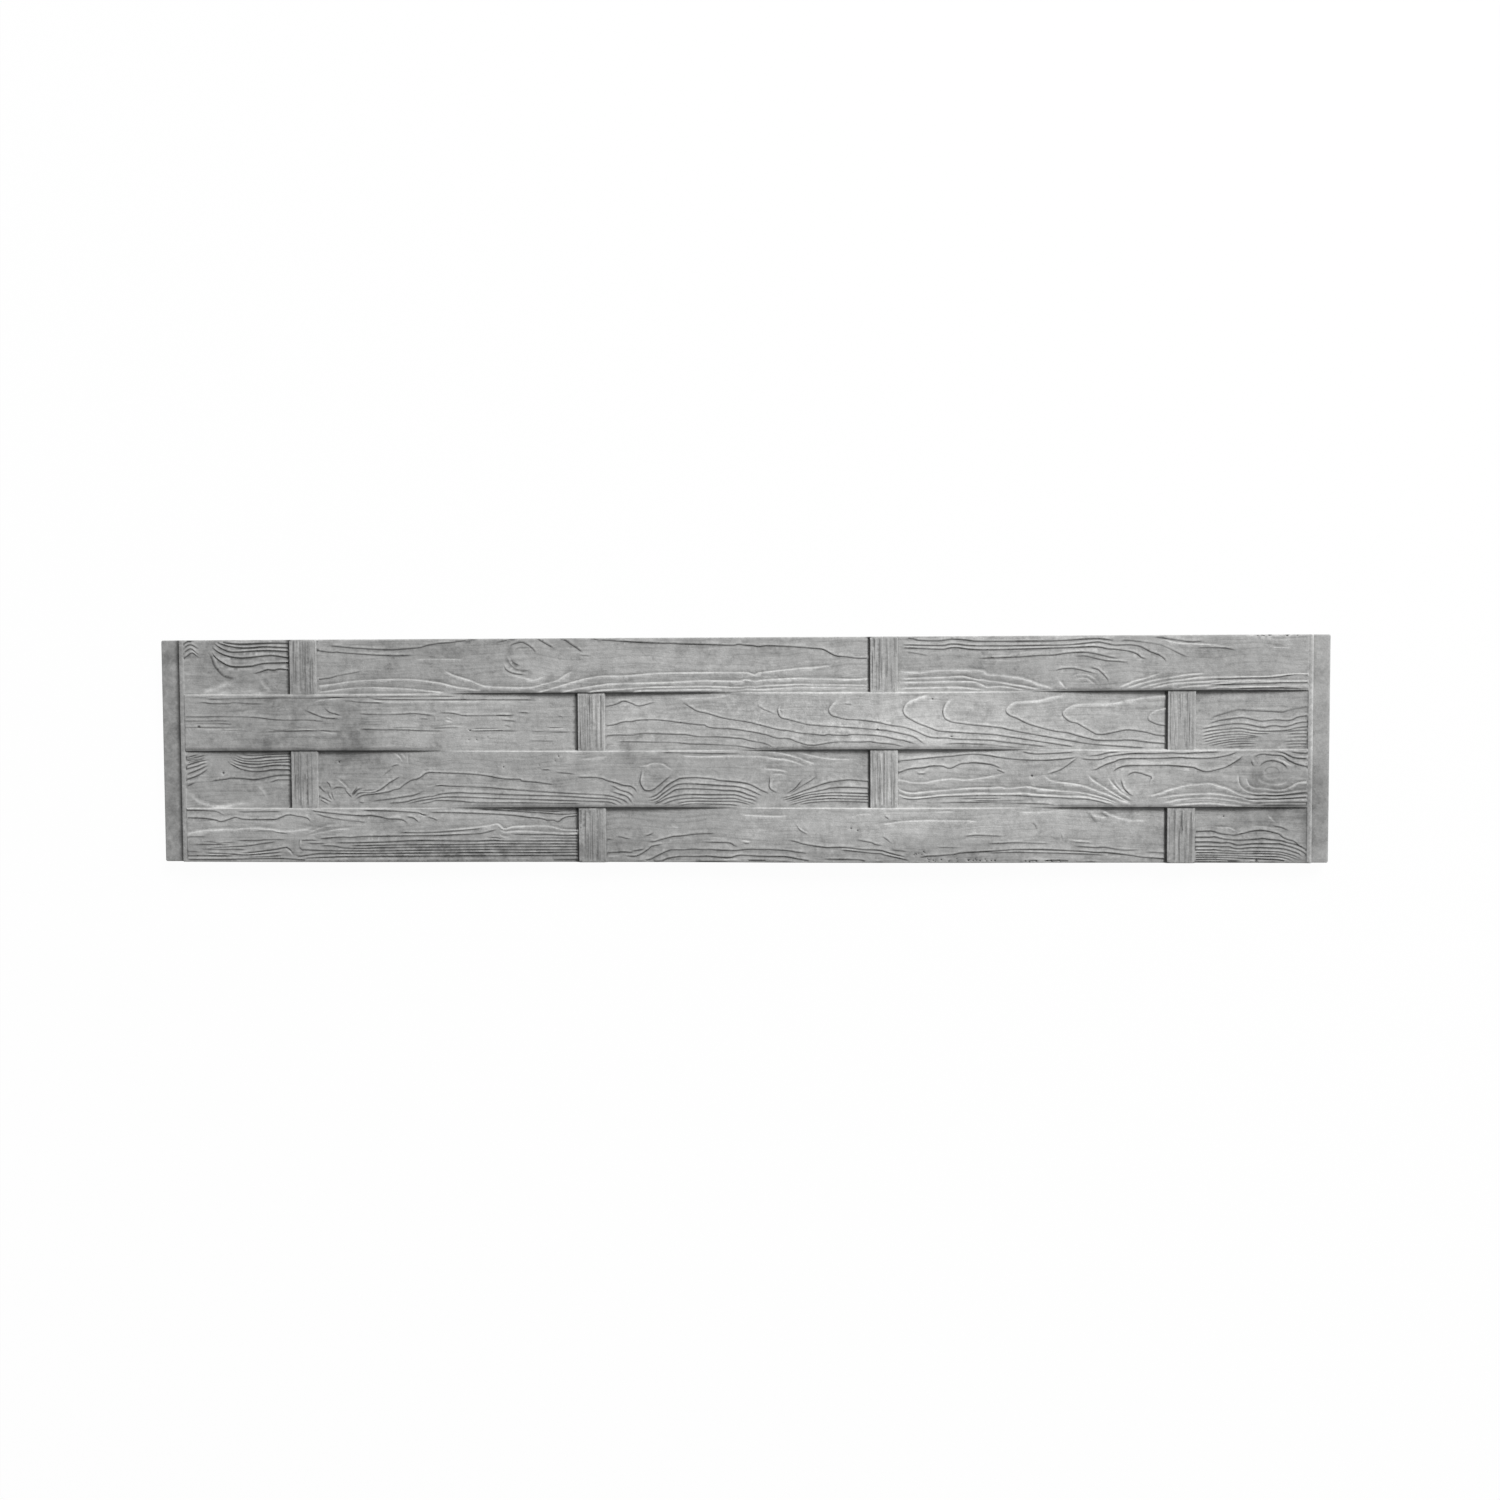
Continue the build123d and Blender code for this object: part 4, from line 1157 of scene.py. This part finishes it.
def panel_shell(paths):
    """The closed casting before its face is raised: a face plane, four edges and the back."""
    lines = shaping_lines() + ledge_lines(paths)
    rings = [outline(share * ARRIS_RADIUS) for share in (0, 0.15, 0.5, 1)]
    face, face_tris = triangulated(lines, rings, np.concatenate([fill_points(lines), pit_points()]))
    back, back_tris = triangulated([], rings[:1], back_points())
    ring = rings[0]
    count = len(ring)
    points = [(x, y, STRIP_THICKNESS) for x, y in face] + [(x, y, 0) for x, y in back]
    faces = [tuple(tri) for tri in face_tris]
    faces += [tuple(len(face) + k for k in reversed(tri)) for tri in back_tris]
    first = len(points)
    points += [(x, y, 0) for x, y in ring] + [(x, y, STRIP_THICKNESS) for x, y in ring]
    for k in range(count):
        after = (k + 1) % count
        faces.append((first + k, first + after, first + count + after, first + count + k))
    mesh = bpy.data.meshes.new("panel_shell")
    mesh.from_pydata(points, [], faces)
    welded = bmesh.new()
    welded.from_mesh(mesh)
    bmesh.ops.remove_doubles(welded, verts=welded.verts, dist=1e-6)
    welded.to_mesh(mesh)
    welded.free()
    return mesh


# The relief of the grain


def smooth_step(values):
    """0 below 0, 1 above 1, and a smooth rise between."""
    t = np.clip(values, 0, 1)
    return t * t * (3 - 2 * t)


def ledge_profile(off, half, reach):
    """Height across a ledge of drop 1: a gentle rise to its crest, the drop, a gentle rise from its foot."""
    ramp = 0.5 * np.clip((reach - abs(off)) / (reach - half), 0, 1) ** 2
    return np.where(abs(off) < half, -0.5 * np.sin(off / half * math.pi / 2), -np.sign(off) * ramp)


def nearest_on(path, spots):
    """Distance to a path, positive on its right, how far along the path that is, and the path's way there."""
    starts, runs = path[:-1], np.diff(path, axis=0)
    lengths = np.hypot(*runs.T)
    ways = runs / lengths[:, None]
    stations = np.concatenate([[0], np.cumsum(lengths)])[:-1]
    rel = spots[:, None, :] - starts[None]
    along = np.clip((rel * ways).sum(2), 0, lengths)
    gap = np.hypot(*(rel - along[..., None] * ways).transpose(2, 0, 1))
    best = gap.argmin(1)
    pick = np.arange(len(spots)), best
    side = rel[pick][:, 1] * ways[best, 0] - rel[pick][:, 0] * ways[best, 1]
    return np.where(side > 0, -1, 1) * gap[pick], stations[best] + along[pick], ways[best]


def grain_relief(spots, paths):
    """Height of the grain at each spot of the face, and the painted shade there, below 0 where a crest gets
    painted highlight.

    The painted shade lies at the foot of ledges, most where they face down. The painted highlight lies on
    their crests, most where they face up.
    Each ledge swells and thins along its way, and starts that at a place of its own.
    """
    relief, painted_shade_and_dirt = np.zeros(len(spots)), np.zeros(len(spots))
    for cut, path, (left, right, low, high) in paths:
        reach = LEDGE_REACH * cut["half"]
        lows = np.maximum(path.min(0) - reach, (left, low))
        highs = np.minimum(path.max(0) + reach, (right, high))
        near = np.flatnonzero((spots > lows).all(1) & (spots < highs).all(1))
        if not len(near):
            continue
        off, along, way = nearest_on(path, spots[near])
        close = abs(off) < reach
        near, off, along, way = near[close], off[close], along[close], way[close]
        strength = 1 + 0.3 * np.sin(along / SWELL_LENGTH + 900 * path[0, 0])
        if not cut["closed"]:
            length = np.hypot(*np.diff(path, axis=0).T).sum()
            from_end = np.minimum(along, length - along)
            strength *= smooth_step(from_end / min(LEDGE_FADE, 0.35 * length))
        half = cut["half"] * (1 + smooth_step((cut["soft_start"] - along) / SOFT_START_FADE))
        relief[near] += cut["drop"] * strength * ledge_profile(off, half, reach)
        side = np.sign(cut["drop"])
        across = side * off / half
        strength *= abs(cut["drop"]) / MM
        faces_down = np.clip(0.5 + 0.7 * side * way[:, 0], 0, 1)
        painted_shade_and_dirt[near] += strength * faces_down * np.exp(-((across - 0.5) / 1.1) ** 2)
        painted_shade_and_dirt[near] -= strength * (0.9 - 0.6 * faces_down) * np.exp(-(across + 1.3) ** 2)
    return relief, painted_shade_and_dirt


def pitting(spots):
    """How deep each spot lies in a pit, as a share of the pit's radius, and that depth."""
    share, depth = np.zeros(len(spots)), np.zeros(len(spots))
    for middle, radius in zip(*pit_places()):
        away = np.hypot(*(spots - middle).T) / radius
        inside = np.clip(1 - away, 0, 1)
        share = np.maximum(share, inside)
        depth = np.maximum(depth, inside * radius)
    return share, depth


def edge_drop(spots):
    """How far the rounded arris lies below the face, from the distance to the slab's outline."""
    out = np.maximum(abs(spots) - (HALF_LENGTH - CORNER_RADIUS, HALF_HEIGHT - CORNER_RADIUS), 0)
    at_corner = (out > 0).all(1)
    inset = np.minimum(HALF_LENGTH - abs(spots[:, 0]), HALF_HEIGHT - abs(spots[:, 1]))
    inset = np.where(at_corner, CORNER_RADIUS - np.hypot(*out.T), inset)
    gone = np.clip(ARRIS_RADIUS - inset, 0, ARRIS_RADIUS)
    return ARRIS_RADIUS - np.sqrt(ARRIS_RADIUS**2 - gone**2)


# The woven face


def weave_tree(material):
    """Raises the face plane into boards that bend over and under the battens, by the rule of the weave."""
    tree = bpy.data.node_groups.new("woven_boards", "GeometryNodeTree")
    tree.interface.new_socket("Geometry", in_out="INPUT", socket_type="NodeSocketGeometry")
    sizes = {
        "Batten Pitch": BATTEN_PITCH,
        "Batten Half Width": BATTEN_HALF,
        "Batten Proud": BATTEN_PROUD,
        "Board Height": BOARD_HEIGHT,
        "Weave Rise": WEAVE_RISE,
        "Mid Level": MID_LEVEL,
        "Strip Thickness": STRIP_THICKNESS,
        "Field Half": FIELD_HALF,
        "Boards Half": BOARDS_HALF,
        "Field Offset": FIELD_OFFSET,
        "Soft Corner": SOFT_CORNER,
    }
    for name in sizes:
        tree.interface.new_socket(name, in_out="INPUT", socket_type="NodeSocketFloat")
    tree.interface.new_socket("Geometry", in_out="OUTPUT", socket_type="NodeSocketGeometry")
    shell = node(tree, "NodeGroupInput", output="Geometry")
    size = {name: Wire(tree, shell.socket.node.outputs[name]) for name in sizes}
    soft, mid, pitch = size["Soft Corner"], size["Mid Level"], size["Batten Pitch"]
    place = node(tree, "GeometryNodeInputPosition")
    x = place.axis("X") - size["Field Offset"]
    y = place.axis("Y")

    span = (x / pitch).floor()
    from_batten = x - (span + 0.5) * pitch
    row = (ROW_COUNT / 2 - y / size["Board Height"]).floor().clamp(0, ROW_COUNT - 1)
    over = 2 * (row + span).odd() - 1
    rise = size["Weave Rise"]
    bend = (pitch * pitch / 4 + rise * rise) / (rise * 2)
    swing = over * ((bend * bend - from_batten * from_batten).root() - bend + rise)
    batten = mid + size["Batten Proud"] - (abs(from_batten) - size["Batten Half Width"]).most(0) / LEAN
    board = (mid + swing).most(batten, soft)
    beside = (mid - swing).most(batten, soft)
    last_line = ROW_COUNT / 2 - 1
    line = (y / size["Board Height"]).round().clamp(-last_line, last_line) * size["Board Height"]
    wall = abs(y - line) / LEAN
    woven = board.most(mid - wall, soft).least(beside.most(mid + wall, soft), soft)
    to_end = size["Boards Half"] - abs(x)
    bordered = woven.most(mid - to_end * END_SLOPE, soft).least(mid + (to_end / LEAN).most(0), soft)
    to_strip = (size["Field Half"] - abs(x)) / LEAN
    strip = size["Strip Thickness"]
    level = bordered.least(strip + to_strip, soft).most(strip, soft)

    relief, front = (node(tree, "GeometryNodeInputNamedAttribute", {"data_type": "FLOAT"}, {"Name": name})
                     for name in ("relief", "front"))
    height = node(tree, "ShaderNodeCombineXYZ", values={
        "X": place.axis("X"), "Y": y, "Z": front * (level + relief)})
    raised = node(tree, "GeometryNodeSetPosition", values={"Geometry": shell, "Position": height})
    real = node(tree, "GeometryNodeRealizeInstances", values={"Geometry": raised})
    dressed = node(tree, "GeometryNodeSetMaterial", values={"Geometry": real, "Material": material})
    node(tree, "NodeGroupOutput", values={"Geometry": dressed})
    return tree, sizes


def baked(obj, tree, sizes):
    """The tree's result as the object's plain mesh."""
    modifier = obj.modifiers.new("weave", "NODES")
    modifier.node_group = tree
    for item in tree.interface.items_tree:
        if item.in_out == "INPUT" and item.name in sizes:
            modifier[item.identifier] = float(sizes[item.name])
    graph = bpy.context.evaluated_depsgraph_get()
    mesh = bpy.data.meshes.new_from_object(obj.evaluated_get(graph))
    obj.modifiers.remove(modifier)
    obj.data = mesh
    return mesh


# Painted shade and highlight, with dirt and wear


def height_blur(grid, weight, radius):
    """The mean height within a square of that radius in cells, where there are heights."""
    def summed(values):
        for axis in (0, 1):
            pad = [(0, 0), (0, 0)]
            pad[axis] = (radius + 1, radius)
            total = np.cumsum(np.pad(values, pad), axis)
            stop = np.take(total, range(2 * radius + 1, total.shape[axis]), axis)
            values = stop - np.take(total, range(total.shape[axis] - 2 * radius - 1), axis)
        return values
    return summed(grid * weight) / np.maximum(summed(weight), 1e-9)


def standing_proud(points, radius):
    """How far each point of the face stands above the mean of the face round it."""
    cell = 1 * MM
    where = tuple(((points[:, :2] + (HALF_LENGTH, HALF_HEIGHT)) / cell).astype(int).T)
    shape = (int(2 * HALF_LENGTH / cell) + 2, int(2 * HALF_HEIGHT / cell) + 2)
    total, weight = np.zeros(shape), np.zeros(shape)
    np.add.at(total, where, points[:, 2])
    np.add.at(weight, where, 1)
    heights = total / np.maximum(weight, 1)
    mean = height_blur(heights, (weight > 0).astype(float), radius)
    return points[:, 2] - mean[where]


def stains_and_painted_light(spots):
    """How much darker the concrete is at each spot, below 0 where it is paler: its stains, and the listed
    painted shade and painted highlight.
    """
    share = np.zeros(len(spots))
    for x, row, v, reach_x, reach_y, strength in STAINS_AND_PAINTED_LIGHT:
        low, _ = row_limits(row)
        away = ((spots[:, 0] / MM - x) / reach_x) ** 2 + ((spots[:, 1] / MM - low / MM - v) / reach_y) ** 2
        share += strength * np.exp(-away)
    return share


def on_batten(points):
    """1 on the face of a batten that shows, 0 elsewhere."""
    share = np.zeros(len(points))
    for row in range(ROW_COUNT):
        low, high = row_limits(row)
        in_row = (points[:, 1] > low) & (points[:, 1] < high)
        for middle in row_battens(row):
            share[in_row & (abs(points[:, 0] - middle) < BATTEN_HALF)] = 1
    return share


def riding_over(x, row):
    """How far a row of boards rides over its neighbours at each x, from -1 to 1."""
    return -(-1) ** row * np.sin(math.pi * (x - FIELD_OFFSET) / BATTEN_PITCH)


def beside(gap, width, fade):
    """1 within a width of a wall, fading to 0 at its far side, and 0 past the wall itself."""
    return np.where(gap > 0, smooth_step((width - gap) / fade), 0)


def painted_shadow_strips(points):
    """Share of painted shadow that the walls cast.

    It lies left of the field and of the battens, and on the lower edge of a board that rides over the next.
    It is wider beside the battens of the left half.
    """
    x, y = points[:, 0], points[:, 1]
    share = 0.65 * beside(FIELD_OFFSET - FIELD_HALF - x, END_SHADOW_WIDTH, 1.5 * MM)
    for row in range(ROW_COUNT):
        low, high = row_limits(row)
        in_row = (y > low) & (y < high)
        for middle in row_battens(row):
            width = LEFT_BATTEN_SHADOW_WIDTH if middle < 0 else RIGHT_BATTEN_SHADOW_WIDTH
            share += 0.75 * in_row * beside(middle - BATTEN_HALF - x, width, 1.6 * MM)
        if row < ROW_COUNT - 1:
            edge = beside(y - low + WALL_HALF, EDGE_SHADOW_HEIGHT + WALL_HALF, 1.5 * MM)
            over = (abs(x - FIELD_OFFSET) < BOARDS_HALF) * np.clip(riding_over(x, row) * 3, 0, 1)
            share += 0.6 * edge * over
    return share


def painted_light_and_wear(points, normals, ledge_shade_and_highlight):
    """Shares of painted shade with dirt, and of wear with painted highlight, at each point of the face.

    Painted shade lies on walls facing down and on walls facing left, away from the lamp, in hollows and in
    the painted shadow strips. Painted highlight lies on walls facing up and on walls facing right, towards
    the lamp, and proud edges are paler with wear.
    """
    proud = np.clip(standing_proud(points, 3), -1 * MM, 1 * MM) / MM
    right, up = np.clip(normals[:, :2].T * 1.6, -1, 1)
    faces_down, faces_left = np.clip(-up, 0, 1), np.clip(-right, 0, 1)
    faces_up, faces_right = np.clip(up, 0, 1), np.clip(right, 0, 1)
    # Painted shade at ledge feet, pits and hollows, on walls facing down and left and in the shadow strips;
    # painted highlight at ledge crests and on walls facing up and right, and paler proud edges with wear
    painted_shade_and_dirt = ledge_shade_and_highlight * 0.85 - proud * 0.12 + faces_down * 0.3 + faces_left * 0.6 + painted_shadow_strips(points)
    wear_and_painted_highlight = ledge_shade_and_highlight * -0.5 + proud * (0.2 + 0.25 * up) + faces_up * 0.4 + faces_right * 0.35
    return np.clip(painted_shade_and_dirt, 0, MOST_SHADE_AND_DIRT), np.clip(wear_and_painted_highlight, 0, MOST_WEAR_AND_HIGHLIGHT)


def concrete():
    """Cast concrete, with painted shade and dirt in its hollows.

    Its edges are pale with wear and painted highlight.
    """
    material = bpy.data.materials.new("cast_concrete")
    tree = cleared_tree(material)
    place = node(tree, "ShaderNodeTexCoord", output="Object")

    def noise(scale, detail, roughness=0.55, vector=place):
        return node(tree, "ShaderNodeTexNoise", {"noise_dimensions": "3D"},
                    {"Vector": vector, "Scale": scale, "Detail": detail, "Roughness": roughness})

    grained, upright, painted_shade_and_dirt, wear_and_painted_highlight, stain_and_painted_light_here = (
        node(tree, "ShaderNodeAttribute", {"attribute_name": name}, output="Fac")
        for name in ("grained", "upright", "painted_shade_and_dirt", "wear_and_painted_highlight", "stain"))
    wander = 0.03 * (noise(7, 2) - 0.5)
    fibres = node(tree, "ShaderNodeCombineXYZ", values={
        "X": (place.axis("X") + wander) * (9 + upright * 300),
        "Y": (place.axis("Y") + wander) * (240 - upright * 231)})
    streak = (noise(1, 3, 0.6, fibres) - 0.5) * grained
    cut_lines = ((streak + 0.04) * -13).clamp() * (0.09 + upright * 0.16)

    cloud = noise(5, 3) - 0.5
    blotch = noise(26, 5, 0.65) - 0.5
    mottle = noise(65, 5, 0.75) - 0.5
    fleck = noise(150, 3, 0.6) - 0.5
    sand = noise(520, 2) - 0.5
    stain = ((noise(14, 6, 0.72) - 0.54) * 8).clamp() * 0.24 + ((noise(47, 5, 0.7) - 0.57) * 9).clamp() * 0.2
    pale = ((noise(19, 6, 0.7) - 0.57) * 7).clamp()
    tone = 1 + cloud * 0.5 + blotch * 0.7 + fleck * 0.5 + sand * 0.5 + streak * (0.45 - upright * 0.2)
    # The listed stains, with their painted shade and painted highlight
    tone = tone * (1 - stain) * (1 + pale * 0.16) * (1 - stain_and_painted_light_here * (0.75 + mottle * 3))
    # Painted shade with dirt darkens the tone, and wear with painted highlight lightens it
    tone = tone * (1 - painted_shade_and_dirt * 0.85) * (1 + wear_and_painted_highlight * 0.75) * (1 - cut_lines)
    colour = node(tree, "ShaderNodeCombineColor", values={
        "Red": tone * CONCRETE_RED_GREEN, "Green": tone * CONCRETE_RED_GREEN, "Blue": tone * CONCRETE_BLUE})
    roughness = noise(420, 3, 0.6) * 0.5 + noise(110, 3) * 0.7 + noise(30, 2) * 1.6
    bump = node(tree, "ShaderNodeBump", values={
        "Strength": 1.0, "Distance": 1 * MM, "Height": streak * (0.5 - upright * 0.25) + roughness})
    shader = node(tree, "ShaderNodeBsdfPrincipled", values={
        "Base Color": colour, "Roughness": 0.9, "Specular IOR Level": 0.25, "Normal": bump})
    node(tree, "ShaderNodeOutputMaterial", values={"Surface": shader})
    return material


# The panel


def vertex_vectors(collection, name):
    """One vector of every vertex, as rows of an array."""
    values = np.empty(len(collection) * 3, np.float32)
    collection.foreach_get(name, values)
    return values.reshape(-1, 3).astype(float)


def write_attribute(mesh, name, values):
    """Keeps one number for each vertex in the mesh, under a name that trees and materials read."""
    layer = mesh.attributes.new(name, "FLOAT", "POINT")
    layer.data.foreach_set("value", values.astype(np.float32))


def make_panel():
    """The panel's one object: its shell with the relief of the grain, raised by the weave, and its wear,
    painted shade and painted highlight.
    """
    paths = []
    for row, start, stop, cuts, depth in BOARDS + BATTENS:
        box = board_box(row, start, stop)
        paths += [({**cut, "drop": cut["drop"] * depth}, ledge_path(cut, box), box) for cut in cuts]
    shell = panel_shell(paths)
    points = vertex_vectors(shell.vertices, "co")
    front = points[:, 2] > STRIP_THICKNESS / 2
    spots = points[front, :2]
    grain, ledge_shade_and_highlight = grain_relief(spots, paths)
    pit_share, pit_depth = pitting(spots)
    on_field = abs(spots[:, 0] - FIELD_OFFSET) < BOARDS_HALF
    relief, painted_shade_and_dirt, stain, wear_and_painted_highlight = np.zeros((4, len(points)))
    relief[front] = np.where(on_field, np.clip(grain - SKIN, -DEEPEST, 0), 0) - edge_drop(spots) - pit_depth
    # Painted shade in the pits, added to the painted shade and highlight of the ledges
    painted_shade_and_dirt[front] = np.clip(ledge_shade_and_highlight, -1.5, 2) + 1.2 * pit_share
    stain[front] = stains_and_painted_light(spots)
    write_attribute(shell, "relief", relief)
    write_attribute(shell, "stain", stain)
    write_attribute(shell, "front", front)

    panel = bpy.data.objects.new("concrete_panel", shell)
    bpy.context.collection.objects.link(panel)
    material = concrete()
    shell.materials.append(material)
    mesh = baked(panel, *weave_tree(material))

    raised = vertex_vectors(mesh.vertices, "co")
    facing = vertex_vectors(mesh.vertex_normals, "vector")
    painted_shade_and_dirt[front], wear_and_painted_highlight[front] = painted_light_and_wear(raised[front], facing[front], painted_shade_and_dirt[front])
    write_attribute(mesh, "painted_shade_and_dirt", painted_shade_and_dirt)
    write_attribute(mesh, "wear_and_painted_highlight", wear_and_painted_highlight)
    write_attribute(mesh, "upright", on_batten(raised))
    write_attribute(mesh, "grained", front & (abs(raised[:, 0] - FIELD_OFFSET) < BOARDS_HALF))
    mesh.shade_smooth()
    mesh.set_sharp_from_angle(angle=math.radians(SHARP_TURN))
    return panel


panel = make_panel()
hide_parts("panel")
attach(panel, "root")


# The floor, the light and the camera


def make_floor():
    """A pale floor. The camera sees it white, with the panel's shadow on it."""
    material = bpy.data.materials.new("pale_floor")
    tree = cleared_tree(material)
    shade = node(tree, "ShaderNodeBsdfDiffuse", values={"Color": (FLOOR_GREY, FLOOR_GREY, FLOOR_GREY, 1)})
    glow = node(tree, "ShaderNodeEmission", values={"Color": (1, 1, 1, 1), "Strength": 1.0})
    seen = node(tree, "ShaderNodeLightPath", output="Is Camera Ray")
    both = node(tree, "ShaderNodeMixShader", values={0: seen * FLOOR_GLOW, 1: shade, 2: glow})
    node(tree, "ShaderNodeOutputMaterial", values={"Surface": both})
    mesh = bpy.data.meshes.new("floor")
    corners = [(x * FLOOR_REACH, y * FLOOR_REACH, 0) for x, y in ((-1, -1), (1, -1), (1, 1), (-1, 1))]
    mesh.from_pydata(corners, [], [(0, 1, 2, 3)])
    mesh.materials.append(material)
    floor = bpy.data.objects.new("floor", mesh)
    bpy.context.collection.objects.link(floor)


def make_light():
    """A dim white room and one soft lamp above the upper right of the panel."""
    world = bpy.data.worlds.new("studio")
    bpy.context.scene.world = world
    tree = cleared_tree(world)
    sky = node(tree, "ShaderNodeBackground", values={"Color": (1, 1, 1, 1), "Strength": SKY_STRENGTH})
    node(tree, "ShaderNodeOutputWorld", values={"Surface": sky})
    lamp = bpy.data.lights.new("softbox", "AREA")
    lamp.shape = "RECTANGLE"
    lamp.size = LAMP_SIDE
    lamp.size_y = LAMP_SIDE
    lamp.energy = LAMP_WATTS
    soft = bpy.data.objects.new("softbox", lamp)
    bpy.context.collection.objects.link(soft)
    soft.location = LAMP_PLACE
    soft.rotation_euler = (-soft.location).to_track_quat("-Z", "Y").to_euler()


def make_camera():
    """The photograph's own view: a camera 3 m above the panel, a little right of and above its middle."""
    camera = bpy.data.cameras.new("camera")
    camera.sensor_width = SENSOR_WIDTH
    camera.lens = LENS_LENGTH
    eye = bpy.data.objects.new("camera", camera)
    bpy.context.collection.objects.link(eye)
    eye.location = CAMERA_PLACE
    eye.rotation_euler = [math.radians(a) for a in CAMERA_TURN]
    bpy.context.scene.camera = eye


make_floor()
make_light()
make_camera()
bpy.context.scene.view_settings.view_transform = "Standard"
